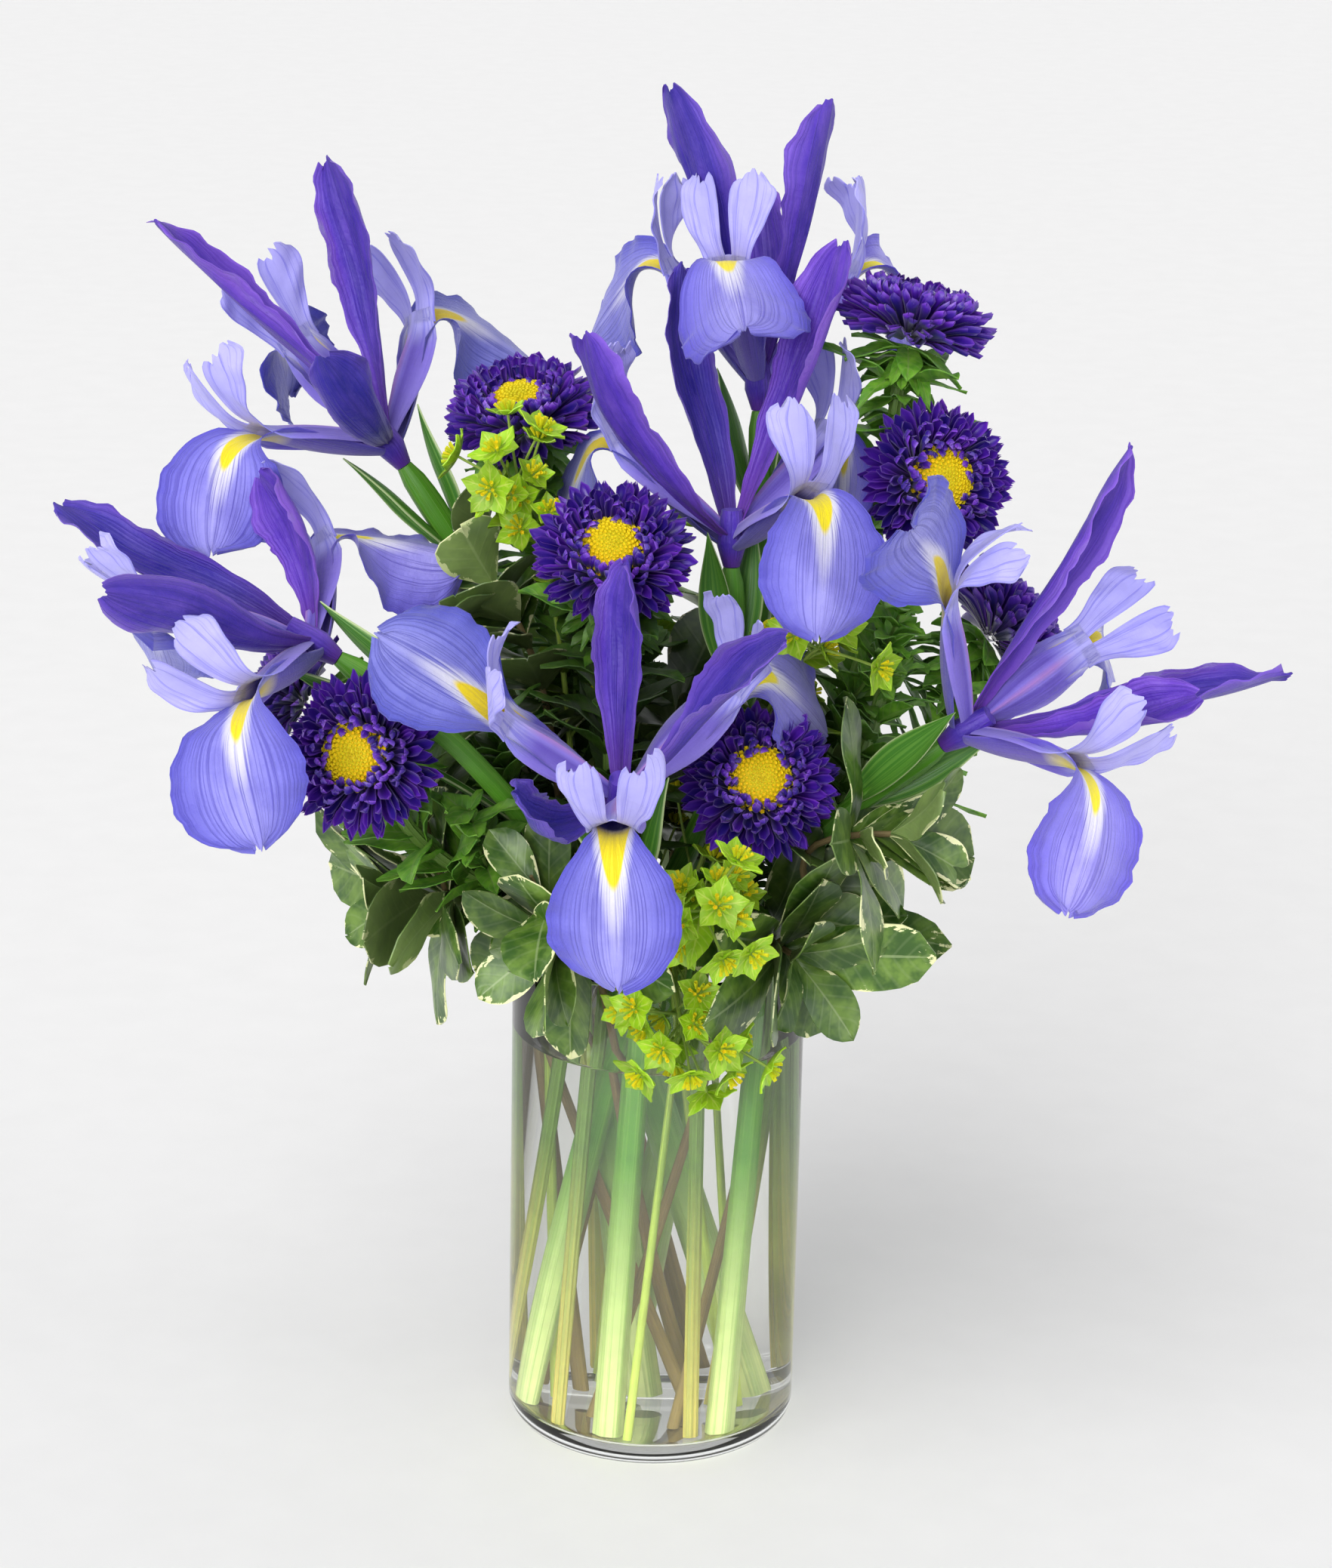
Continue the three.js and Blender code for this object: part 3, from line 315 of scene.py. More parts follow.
class Paint:
    """A new material and a short way to add each kind of node that its pattern needs."""

    def __init__(self, name):
        self.material = bpy.data.materials.new(name)
        self.material.use_nodes = True
        self.tree = self.material.node_tree
        self.tree.nodes.clear()
        self.surface = self.node("BsdfPrincipled")
        self.output = self.node("OutputMaterial", {"Surface": self.surface})
        self.place = self.node("TexCoord").outputs["Object"]

    def node(self, kind, inputs=None, **settings):
        return add_node(self.tree, kind, inputs, **settings)

    def math(self, operation, *values):
        return self.node("Math", dict(enumerate(values)), operation=operation)

    def times(self, a, b):
        return self.math("MULTIPLY", a, b)

    def span(self, value, low, high, start=0.0, end=1.0, smooth=False, clamp=True):
        """A value between low and high as one between start and end."""
        way = "SMOOTHSTEP" if smooth else "LINEAR"
        ends = dict(enumerate((value, low, high, start, end)))
        return self.node("MapRange", ends, interpolation_type=way, clamp=clamp)

    def mix(self, share, first, second):
        """The first colour, and by this share the second."""
        return self.node("Mix", {0: share, 6: first, 7: second}, data_type="RGBA")

    def ramp(self, value, *stops):
        """Colours at their places along a value."""
        made = self.node("ValToRGB", {0: value})
        ramp = made.color_ramp.elements
        for i, (place, colour) in enumerate(stops):
            stop = ramp[i] if i < 2 else ramp.new(place)
            stop.position = place
            stop.color = colour
        return made

    def noise(self, places, scale, detail, roughness=0.5):
        return self.node("TexNoise", {
            "Vector": places, "Scale": scale, "Detail": detail, "Roughness": roughness,
        })

    def bump(self, height, strength, distance):
        """Relief of a height, and its distance in millimetres."""
        return self.node("Bump", {"Height": height, "Strength": strength, "Distance": distance * MM})

    def toned(self, colour, value, hue=0.5):
        """A colour made darker or lighter, and turned in hue."""
        return self.node("HueSaturation", {"Color": colour, "Value": value, "Hue": hue})

    def shade(self, inputs):
        """Sets the surface and gives the material."""
        set_inputs(self.tree, self.surface, inputs)
        return self.material


class Tissue(Paint):
    """The material of something grown, and what its pattern reads off the mesh: the share
    across and along, the share from the middle to the edge, flat places in tenths of a metre,
    which side is under, and the tone that each leaf, petal or floret has of its own."""

    def __init__(self, name):
        super().__init__(name)
        self.shares = self.node("UVMap", uv_map="share")
        split = self.node("SeparateXYZ", {0: self.shares})
        self.across, self.length = split.outputs[0], split.outputs[1]
        self.edge = self.math("ABSOLUTE", self.math("SUBTRACT", self.across, 0.5))
        self.flat = self.node("UVMap", uv_map="flat")
        self.size = self.node("SeparateXYZ", {0: self.flat}).outputs
        self.tone = self.node("Attribute", attribute_name="tone").outputs["Fac"]
        self.under = self.node("Attribute", attribute_name="under").outputs["Fac"]

    def by_tone(self, low, high):
        return self.span(self.tone, 0.0, 1.0, low, high)

    def veins(self, across, along, low, high, detail=4.0):
        """Irregular veins that fan out with the width, from 0 between them to 1 on one."""
        shift = self.node("CombineXYZ", {2: self.times(self.tone, 7.0)})
        fanned = self.node("Mapping", {0: self.shares, 3: (across, along, 1.0)})
        placed = self.node("VectorMath", {0: fanned, 1: shift}, operation="ADD")
        return self.span(self.noise(placed, 1.0, detail, 0.55), low, high, smooth=True)

    def side_veins(self, slant, scale, distortion, most):
        """Veins that slant away from a midrib every few millimetres."""
        along = self.math("ADD", self.size[1], self.times(self.edge, slant))
        waves = self.node("TexWave", {
            "Vector": self.node("CombineXYZ", {0: along}), "Scale": scale, "Distortion": distortion,
            "Detail": 1.0,
        })
        return self.span(waves.outputs["Fac"], 0.8, 1.0, 0.0, most)

    def crinkled(self, veins, strength):
        """The relief of a petal: raised veins and the fine crinkle between them, 1.5 mm apart."""
        crinkle = self.times(self.noise(self.flat, 66.0, 3.0), 1.2)
        return self.bump(self.math("ADD", veins, crinkle), strength, 0.4)

    def tone_and_bunch_shade(self, low, high):
        """A leaf's own tone, times painted shade that darkens it towards the bunch's heart."""
        place = self.node("VectorMath", {0: self.place, 1: BUNCH_HEART}, operation="SUBTRACT")
        scaled = self.node("VectorMath", {0: place, 1: BUNCH_FALL}, operation="MULTIPLY")
        out = self.node("VectorMath", {0: scaled}, operation="LENGTH")
        return self.times(self.by_tone(low, high), self.span(out, 0.3, 0.85, 0.2, 1.0, smooth=True))

    def finish(self, colour, roughness, relief, light, specular=0.5, sheen=(0.0, 0.5)):
        """Sets a surface that lets light in: its share, each colour's reach and how deep, in
        millimetres. A sheen is its weight and its roughness."""
        share, reach, depth = light
        return self.shade({
            "Base Color": colour, "Roughness": roughness, "Normal": relief, "Specular IOR Level": specular,
            "Subsurface Weight": share, "Subsurface Radius": reach, "Subsurface Scale": depth * MM,
            "Sheen Weight": sheen[0], "Sheen Roughness": sheen[1],
        })


def clear_material(name, colour, index):
    """Clear and smooth, seen by what it bends, with most light let through to what stands behind."""
    paint = Paint(name)
    paint.shade({"Base Color": colour, "Roughness": 0.0, "IOR": index, "Transmission Weight": 1.0})
    shadow = paint.node("LightPath").outputs["Is Shadow Ray"]
    through = paint.node("BsdfTransparent", {"Color": (0.985, 0.992, 0.988, 1.0)})
    mixed = paint.node("MixShader", {0: shadow, 1: paint.surface, 2: through})
    set_inputs(paint.tree, paint.output, {"Surface": mixed})
    return paint.material


def glass_material(settings):
    """Soda-lime glass, blown and fire-polished: colourless, with bright lines in its thick edges."""
    return clear_material("soda_lime_glass", settings.glass_colour, 1.5)


def water_material(settings):
    """Tap water: clear, with a hint of yellow from the stems."""
    return clear_material("vase_water", settings.water_colour, 1.333)


def fall_material(settings):
    """A fresh iris fall: thin, faintly sparkling petal with fanning veins and a yellow signal."""
    paint = Tissue("iris_fall_petal")
    veins = paint.veins(64.0, 1.4, 0.48, 0.68)
    tint = paint.ramp(
        paint.edge, (0.0, settings.fall_middle), (0.30, settings.fall_colour), (0.5, settings.fall_rim),
    )
    mottle = paint.span(paint.noise(paint.flat, 9.0, 4.0), 0.35, 0.75, 0.0, 0.45)
    mottled = paint.mix(mottle, tint, settings.fall_vein)
    veined = paint.mix(paint.times(veins, 0.75), mottled, settings.fall_vein)
    haft = paint.span(paint.length, 0.52, 0.34, 0.0, 0.85, smooth=True)
    marked = paint.mix(haft, veined, settings.haft_colour)
    # The signal is a tongue from the knee down the blade, 9 mm wide at its root, in a pale
    # halo that the veins fray: half-width, root and end, fraying, outer and inner edge, strength
    across, onward = paint.size[0], paint.size[1]
    square = paint.times(across, across)
    past_haft = paint.span(onward, 0.40, 0.50)
    for colour, half, root, end, frayed, outer, inner, strength in (
        (settings.halo_colour, 0.062, 0.60, 0.90, 0.35, 1.15, 0.35, 0.82),
        (settings.signal_colour, 0.044, 0.56, 0.73, 0.0, 1.0, 0.8, 1.0),
    ):
        beside = paint.times(square, 1 / half ** 2)
        beyond = paint.span(onward, root, end, clamp=False)
        reach = paint.math("ADD", paint.math("ADD", beside, beyond), paint.times(veins, frayed))
        shown = paint.times(paint.span(reach, outer, inner, 0.0, strength, smooth=True), past_haft)
        marked = paint.mix(shown, marked, colour)
    # Its back is a deeper blue
    back = paint.times(paint.under, paint.span(paint.edge, 0.15, 0.5, 0.12, 0.65))
    backed = paint.mix(back, marked, settings.fall_back)
    toned = paint.toned(backed, paint.by_tone(0.76, 1.04), paint.by_tone(0.492, 0.506))
    return paint.finish(toned, 0.5, paint.crinkled(veins, 0.6), (0.25, PETAL_REACH, 1.5), 0.35, (0.25, 0.5))


def standard_material(settings):
    """An iris standard: the same thin petal in deep violet-blue, washed lighter towards its edges."""
    paint = Tissue("iris_standard_petal")
    veins = paint.veins(26.0, 1.2, 0.45, 0.66)
    streaks = paint.node("Mapping", {0: paint.flat, 3: (3.0, 1.0, 1.0)})
    wash = paint.span(paint.noise(streaks, 4.0, 5.0, 0.6), 0.42, 0.68, 0.0, 0.55)
    tint = paint.ramp(
        paint.edge,
        (0.0, settings.standard_colour), (0.28, settings.standard_middle), (0.5, settings.standard_rim),
    )
    washed = paint.mix(wash, tint, settings.standard_rim)
    veined = paint.mix(paint.times(veins, 0.45), washed, settings.standard_colour)
    claw = paint.span(paint.length, 0.4, 0.0, 0.0, 0.85, smooth=True)
    clawed = paint.mix(claw, veined, settings.standard_claw)
    toned = paint.toned(clawed, paint.by_tone(0.78, 1.14), paint.by_tone(0.490, 0.512))
    light = (0.2, (0.7, 0.4, 1.0), 1.2)
    return paint.finish(toned, 0.46, paint.crinkled(veins, 0.6), light, 0.35, (0.08, 0.5))


def style_material(settings):
    """An iris style: a firm pale lavender arm with a purple keel, and frilled paler crests."""
    paint = Tissue("iris_style_petal")
    veins = paint.veins(18.0, 1.6, 0.46, 0.66)
    arm = paint.ramp(
        paint.edge, (0.0, settings.style_keel), (0.09, settings.style_arm), (0.17, settings.style_flank),
        (0.5, settings.style_arm),
    )
    crest = paint.mix(paint.times(veins, 0.85), settings.crest_colour, settings.fall_colour)
    whole = paint.mix(paint.span(paint.length, 0.40, 0.56, smooth=True), arm, crest)
    mottle = paint.span(paint.noise(paint.flat, 8.0, 3.0), 0.3, 0.7, 0.9, 1.08)
    toned = paint.toned(whole, mottle)
    return paint.finish(toned, 0.5, paint.crinkled(veins, 0.35), (0.3, PETAL_REACH, 1.5), 0.35, (0.2, 0.5))


def stem_material(name, colour, foot_colour, rib_colour, rib_count, roughness=0.5):
    """A fresh stem or twig: fine ribs along it, and paler where it stands in water."""
    paint = Tissue(name)
    ribs = paint.veins(2.2 * rib_count, 1.2, 0.46, 0.62)
    height = paint.node("SeparateXYZ", {0: paint.place}).outputs[2]
    body = paint.mix(paint.span(height, 0.11, 0.02), colour, foot_colour)
    ribbed = paint.mix(paint.times(ribs, 0.45), body, rib_colour)
    mottle = paint.span(paint.noise(paint.flat, 12.0, 4.0), 0.3, 0.7, 0.92, 1.08)
    toned = paint.toned(ribbed, mottle)
    return paint.finish(toned, roughness, paint.bump(ribs, 0.4, 0.4), (0.1, LEAF_REACH, 1.0))


def blade_material(settings):
    """An iris leaf or spathe: parallel-veined, waxy green with thin pale edges."""
    paint = Tissue("iris_blade_leaf")
    veins = paint.veins(26.0, 0.5, 0.44, 0.6, 2.0)
    body = paint.mix(paint.times(veins, 0.5), settings.blade_colour, settings.blade_vein)
    rimmed = paint.mix(paint.span(paint.edge, 0.46, 0.495, 0.0, 0.85), body, settings.blade_rim)
    toned = paint.toned(rimmed, paint.by_tone(0.8, 1.15))
    return paint.finish(toned, 0.42, paint.bump(veins, 0.35, 0.3), (0.12, LEAF_REACH, 1.0))


def floret_material(settings):
    """An aster's ray floret: velvety deep violet, near-black at its root as painted shade deep in the head,
    lighter along its rolled rims and at its tip.
    """
    paint = Tissue("aster_ray_floret")
    # Painted shade: each floret is near-black at its root, deep in the head
    body = paint.ramp(
        paint.length, (0.0, settings.floret_root), (0.55, settings.floret_colour),
        (1.0, settings.floret_tip),
    )
    rim = paint.span(paint.edge, 0.30, 0.5, 0.0, 0.55, smooth=True)
    rimmed = paint.mix(rim, body, settings.floret_rim)
    toned = paint.toned(rimmed, paint.by_tone(0.7, 1.35), paint.by_tone(0.488, 0.512))
    relief = paint.bump(paint.veins(8.0, 0.8, 0.4, 0.65, 2.0), 0.3, 0.2)
    return paint.finish(toned, 0.3, relief, (0.1, (0.8, 0.2, 1.0), 0.8), 0.55, (0.15, 0.4))


def bud_material(name, ripe, unripe, mouth):
    """Tubular florets packed into a disc: golden and mealy with pollen, greener when unripe."""
    paint = Tissue(name)
    body = paint.mix(paint.tone, unripe, ripe)
    mouthed = paint.mix(paint.span(paint.length, 0.93, 1.0, 0.0, 0.6), body, mouth)
    relief = paint.bump(paint.noise(paint.place, 1600.0, 2.0), 0.4, 0.2)
    return paint.finish(mouthed, 0.7, relief, (0.15, (1.0, 0.8, 0.1), 0.8))


def variegated_material(settings):
    """A variegated pittosporum leaf: leathery grey-green with a ragged cream margin and a pale midrib."""
    paint = Tissue("pittosporum_leaf")
    own = paint.node("CombineXYZ", {0: paint.tone, 1: paint.tone, 2: paint.tone})
    shifted = paint.node("VectorMath", {0: paint.flat, 1: own}, operation="ADD")
    blotch = paint.span(paint.noise(shifted, 11.0, 3.0, 0.6), 0.36, 0.7, smooth=True)
    green = paint.mix(blotch, settings.leaf_dark, settings.leaf_grey)
    side_veins = paint.side_veins(-0.16, 6.4, 1.5, 0.12)
    ribbed = paint.mix(side_veins, green, settings.leaf_vein)
    lined = paint.mix(paint.span(paint.edge, 0.026, 0.012, 0.0, 0.5), ribbed, settings.leaf_vein)
    # The margin: how far in it reaches changes from leaf to leaf and along the edge
    streaks = paint.node("Mapping", {0: shifted, 3: (16.0, 7.0, 1.0)})
    inward = paint.span(paint.noise(streaks, 1.0, 5.0, 0.65), 0.5, 0.76, 0.0, 0.26)
    from_side = paint.math("SUBTRACT", 0.5, paint.edge)
    from_tip = paint.times(paint.math("SUBTRACT", 1.0, paint.length), 1.1)
    spare = paint.math("SUBTRACT", paint.math("MINIMUM", from_side, from_tip), inward)
    # Some leaves keep hardly any of it
    spare = paint.math("SUBTRACT", spare, paint.span(paint.tone, 0.5, 1.0, -0.03, 0.008))
    creamed = paint.mix(paint.span(spare, 0.012, 0.0), lined, settings.leaf_cream)
    faded = paint.mix(paint.times(paint.under, 0.55), creamed, settings.leaf_under)
    # Painted shade: leaves darken towards the bunch's heart, on top of each leaf's own tone
    toned = paint.toned(faded, paint.tone_and_bunch_shade(0.7, 1.3))
    return paint.finish(toned, 0.34, paint.bump(side_veins, 0.5, 0.4), (0.08, LEAF_REACH, 1.0))


def plain_leaf_material(name, colour, vein_colour, light_colour, roughness=0.5):
    """A soft green leaf, mottled lighter, with a pale midrib and feathered side veins."""
    paint = Tissue(name)
    side_veins = paint.side_veins(-0.1, 9.0, 1.0, 0.35)
    mottle = paint.span(paint.noise(paint.flat, 14.0, 3.0), 0.35, 0.7)
    ribbed = paint.mix(side_veins, paint.mix(mottle, colour, light_colour), vein_colour)
    lined = paint.mix(paint.span(paint.edge, 0.05, 0.02, 0.0, 0.7), ribbed, vein_colour)
    # Painted shade: aster leaves and bupleurum bracts darken towards the bunch's heart, on top of each one's
    # own tone
    toned = paint.toned(lined, paint.tone_and_bunch_shade(0.7, 1.25))
    return paint.finish(toned, roughness, paint.bump(side_veins, 0.4, 0.3), (0.15, LEAF_REACH, 1.0))


def floor_material(settings):
    """A painted studio sweep: matt and pale."""
    paint = Paint("studio_sweep")
    grain = paint.span(paint.noise(paint.place, 40.0, 3.0), 0.3, 0.7, 0.99, 1.01)
    return paint.shade({"Base Color": paint.toned(settings.floor_colour, grain), "Roughness": 0.6})


# Directions and paths, in millimetres


def unit(a):
    return a / np.maximum(np.linalg.norm(a, axis=-1, keepdims=True), 1e-12)


def polar(heading, rise, length=1.0):
    level = length * math.cos(math.radians(rise))
    turn = math.radians(heading)
    return np.array([level * math.cos(turn), level * math.sin(turn), length * math.sin(math.radians(rise))])


def crossed(a, b):
    return unit(np.cross(a, b))


def square_to(axis):
    """A direction square to an axis."""
    return crossed(axis, np.array([1.0, 0, 0]) if abs(axis[1]) > 0.9 else np.array([0, 1.0, 0]))


def swung(direction, axis, degrees):
    """A direction turned about an axis."""
    turn = Matrix.Rotation(math.radians(degrees), 3, Vector(axis))
    return np.array(turn @ Vector(direction))


def swell(u, root, peak, tip, root_power, tip_power):
    """Half-width along a blade as a share of its greatest, which lies at the peak."""
    u = np.clip(u, 0, 1)
    rising = root + (1 - root) * np.sin(np.clip(u / peak, 0, 1) * np.pi / 2) ** root_power
    falling = tip + (1 - tip) * np.sin(np.clip((1 - u) / (1 - peak), 0, 1) * np.pi / 2) ** tip_power
    return np.where(u < peak, rising, falling)


def drawn(u, *stops):
    """A smooth line through stops of place and value."""
    x, y = np.array(stops, dtype=float).T
    slope = np.gradient(y, x)
    u = np.asarray(u, dtype=float)
    i = np.clip(np.searchsorted(x, u, side="right") - 1, 0, len(x) - 2)
    gap = x[i + 1] - x[i]
    t = np.clip((u - x[i]) / gap, 0, 1)
    start = (2 * t ** 3 - 3 * t ** 2 + 1) * y[i] + (t ** 3 - 2 * t ** 2 + t) * gap * slope[i]
    end = (3 * t ** 2 - 2 * t ** 3) * y[i + 1] + (t ** 3 - t ** 2) * gap * slope[i + 1]
    return start + end


def uneven(u, v, phase):
    """How a living petal's face wanders, from about -1 to 1 and more towards its edges."""
    return (
        0.6 * v * np.sin(5 * u + phase) + 0.5 * v ** 2 * np.sin(9 * u + 2 * v + 1.7 * phase)
        + 0.2 * np.sin(12 * u - 5 * v + 2.3 * phase)
    )


class SoftPath:
    """A smooth path that starts and ends on its first and last points and rounds the others."""

    STEPS = 48

    def __init__(self, *points):
        points = [np.asarray(point, dtype=float) for point in points]
        pieces = []
        t = np.linspace(0, 1, self.STEPS)[:, None]
        for i in range(1, len(points) - 1):
            start = points[0] if i == 1 else (points[i - 1] + points[i]) / 2
            end = points[-1] if i == len(points) - 2 else (points[i] + points[i + 1]) / 2
            piece = (1 - t) ** 2 * start + 2 * t * (1 - t) * points[i] + t ** 2 * end
            pieces.append(piece if i == 1 else piece[1:])
        self.points = np.concatenate(pieces)
        reach = np.concatenate([[0], np.cumsum(np.linalg.norm(np.diff(self.points, axis=0), axis=1))])
        self.length = reach[-1]
        self.share = reach / reach[-1]

    def point(self, u):
        u = np.asarray(u, dtype=float)
        return np.stack([np.interp(u, self.share, self.points[:, k]) for k in range(3)], axis=-1)

    def tangent(self, u):
        u = np.asarray(u, dtype=float)
        return unit(self.point(np.minimum(u + 0.004, 1)) - self.point(np.maximum(u - 0.004, 0)))


# Shapes that repeat are modelled once, flat or straight, and then copied along their paths


class Pattern:
    """A modelled shape read back: points, each point's share across and along, and faces."""

    def __init__(self, points, share, starts, corners):
        self.points = points
        self.share = share
        self.starts = starts
        self.corners = corners


def begin_shape():
    if bpy.context.mode != "OBJECT":
        bpy.ops.object.mode_set(mode="OBJECT")
    bpy.ops.object.select_all(action="DESELECT")


def pick(condition, domain="verts"):
    """Selects in edit mode the parts of the shape that meet a condition."""
    shape = bmesh.from_edit_mesh(bpy.context.object.data)
    bpy.ops.mesh.select_all(action="DESELECT")
    for part in getattr(shape, domain):
        if condition(part):
            part.select_set(True)
    shape.select_flush_mode()
    bmesh.update_edit_mesh(bpy.context.object.data)


def read(items, name, size=1, kind=float):
    """One value, or several in a row, of each of a mesh's items."""
    values = np.empty(len(items) * size, dtype=kind)
    items.foreach_get(name, values)
    return values if size == 1 else values.reshape(-1, size)


def read_shape():
    """Takes the active object's mesh as a pattern and removes the object."""
    shape = bpy.context.object
    mesh = shape.data
    corners = read(mesh.loops, "vertex_index", kind=int)
    share = np.zeros((len(mesh.vertices), 2))
    share[corners] = read(mesh.uv_layers[0].data, "uv", 2)
    starts = read(mesh.polygons, "loop_start", kind=int)
    pattern = Pattern(read(mesh.vertices, "co", 3), share, starts, corners)
    bpy.data.objects.remove(shape)
    bpy.data.meshes.remove(mesh)
    return pattern


def cut_blade(columns, rows, outline):
    """A flat blade two units long, one unit wide to either side and one thick: a grid whose
    rows are drawn in to the outline, thickened by Solidify."""
    begin_shape()
    bpy.ops.mesh.primitive_grid_add(x_subdivisions=columns, y_subdivisions=rows, size=2)
    shape = bpy.context.object
    bpy.ops.object.mode_set(mode="EDIT")
    for y in sorted({round(vertex.co.y, 5) for vertex in shape.data.vertices}):
        pick(lambda vertex, row=y: abs(vertex.co.y - row) < 1e-4)
        width = float(outline((y + 1) / 2))
        bpy.ops.transform.resize(value=(width, 1, 1), center_override=(0, y, 0))
    bpy.ops.object.mode_set(mode="OBJECT")
    solid = shape.modifiers.new("thickness", "SOLIDIFY")
    solid.thickness = 1.0
    solid.offset = 0.0
    bpy.ops.object.modifier_apply(modifier=solid.name)
    return read_shape()


def cut_stalk(sides, rows):
    """A straight round stalk two units long and one in radius, cut into even rows."""
    begin_shape()
    bpy.ops.mesh.primitive_cylinder_add(vertices=sides, radius=1, depth=2, end_fill_type="NGON")
    bpy.ops.object.mode_set(mode="EDIT")
    bpy.ops.mesh.select_mode(type="EDGE")
    pick(lambda edge: abs(edge.verts[0].co.z - edge.verts[1].co.z) > 1, "edges")
    bpy.ops.mesh.subdivide(number_cuts=rows - 1)
    bpy.ops.mesh.select_mode(type="VERT")
    bpy.ops.object.mode_set(mode="OBJECT")
    pattern = read_shape()
    x, y, z = pattern.points.T
    # Mirrored halves, so that no pattern breaks along a seam
    turn = np.abs(np.arctan2(y, x)) / (2 * np.pi)
    pattern.share = np.stack([turn, (z + 1) / 2], axis=-1)
    return pattern


def cut_bud():
    """A tubular floret one unit tall: five-sided, swelling upwards to a sunken mouth."""
    begin_shape()
    bpy.ops.mesh.primitive_cone_add(vertices=5, radius1=0.55, radius2=1.0, depth=2, end_fill_type="NGON")
    bpy.ops.object.mode_set(mode="EDIT")
    bpy.ops.mesh.select_mode(type="FACE")
    pick(lambda face: face.normal.z > 0.9, "faces")
    bpy.ops.mesh.inset(thickness=0.4)
    bpy.ops.transform.translate(value=(0, 0, -0.7))
    pick(lambda face: face.normal.z < -0.9, "faces")
    bpy.ops.mesh.delete(type="ONLY_FACE")
    bpy.ops.object.mode_set(mode="OBJECT")
    pattern = read_shape()
    reach = np.linalg.norm(pattern.points[:, :2], axis=1)
    mouth = (pattern.points[:, 2] > 0) & (reach < 0.75)
    pattern.share = np.stack([np.full(len(reach), 0.5), np.where(mouth, 1.0, 0.9)], axis=-1)
    pattern.points[:, 2] = (pattern.points[:, 2] + 1) / 2
    return pattern


def turn_profile(name, profile):
    """A closed round body spun from a profile of radius and height."""
    begin_shape()
    bpy.ops.mesh.primitive_plane_add(size=1)
    piece = bpy.context.object
    piece.name = piece.data.name = name
    bpy.ops.object.mode_set(mode="EDIT")
    bpy.ops.mesh.delete(type="VERT")
    shape = bmesh.from_edit_mesh(piece.data)
    line = [shape.verts.new((radius * MM, 0, height * MM)) for radius, height in profile]
    for a, b in zip(line, line[1:]):
        shape.edges.new((a, b))
    bmesh.update_edit_mesh(piece.data)
    bpy.ops.mesh.select_all(action="SELECT")
    bpy.ops.mesh.spin(steps=VASE_SIDES, angle=2 * math.pi, center=(0, 0, 0), axis=(0, 0, 1))
    bpy.ops.mesh.select_all(action="SELECT")
    bpy.ops.mesh.remove_doubles(threshold=1e-5)
    bpy.ops.object.mode_set(mode="OBJECT")
    return piece


def rounding(radius, height, bend, start, end, steps=7):
    """A profile's arc of this radius about a point, from one angle above level to another."""
    turns = np.radians(np.linspace(start, end, steps))
    return [(radius + bend * math.cos(turn), height + bend * math.sin(turn)) for turn in turns]


class Growth:
    """Gathers bent copies of patterns into the mesh of one piece."""

    def __init__(self, name, materials):
        self.name = name
        self.materials = materials
        self.copies = []
        self.count = self.loops = 0

    def add(self, pattern, points, flat, material=0, tone=0.5, share=None):
        """Adds a copy of a pattern at these points, or several where points has one more axis."""
        share = pattern.share if share is None else share
        copies = points.reshape(-1, len(pattern.points), 3)
        tones = np.broadcast_to(np.reshape(tone, (-1, 1)), (len(copies), len(pattern.points)))
        for copy, toned in zip(copies, tones):
            self.copies.append((
                copy, share, flat, toned, pattern.points[:, 2] < 0, pattern.starts + self.loops,
                pattern.corners + self.count, np.full(len(pattern.starts), material),
            ))
            self.count += len(pattern.points)
            self.loops += len(pattern.corners)

    def add_stalk(self, pattern, path, radius, material=0, tone=0.5, level=False):
        """Adds a stalk wrapped about a path."""
        points, flat = wrap(pattern, path, radius, level)
        self.add(pattern, points, flat, material, tone)

    def add_blade(self, pattern, path, side, half, thickness, lift, material=1, tone=0.5, **form):
        """Adds a blade bent along a path."""
        points, flat = bend(pattern, path, side, half, thickness, lift, **form)
        self.add(pattern, points, flat, material, tone)

    def finish(self, node, slot):
        """Makes the piece of all the copies, with what its materials read off the mesh."""
        mesh = bpy.data.meshes.new(self.name)
        points, share, flat, tone, under, starts, corners, slots = map(np.concatenate, zip(*self.copies))
        mesh.vertices.add(len(points))
        mesh.vertices.foreach_set("co", (points * MM).ravel())
        mesh.loops.add(len(corners))
        mesh.loops.foreach_set("vertex_index", corners)
        mesh.polygons.add(len(starts))
        mesh.polygons.foreach_set("loop_start", starts)
        mesh.polygons.foreach_set("material_index", slots)
        for name, values in (("share", share), ("flat", flat)):
            layer = mesh.uv_layers.new(name=name)
            layer.data.foreach_set("uv", values[corners].astype(np.float32).ravel())
        for name, values in (("tone", tone), ("under", under)):
            attribute = mesh.attributes.new(name, "FLOAT", "POINT")
            attribute.data.foreach_set("value", values.astype(np.float32))
        mesh.update(calc_edges=True)
        mesh.validate()
        for material in self.materials:
            mesh.materials.append(material)
        piece = bpy.data.objects.new(self.name, mesh)
        bpy.context.collection.objects.link(piece)
        finish_piece(piece, node)


# The finished piece of each node
GROWN = {}


def finish_piece(piece, node, smooth=50):
    """Turns a piece's faces outwards, shades it smooth and ties it to its node."""
    begin_shape()
    piece.select_set(True)
    bpy.context.view_layer.objects.active = piece
    bpy.ops.object.mode_set(mode="EDIT")
    bpy.ops.mesh.select_all(action="SELECT")
    bpy.ops.mesh.normals_make_consistent(inside=False)
    bpy.ops.object.mode_set(mode="OBJECT")
    bpy.ops.object.shade_smooth_by_angle(angle=math.radians(smooth))
    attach(piece, "root")
    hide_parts(node)
    GROWN[node] = piece


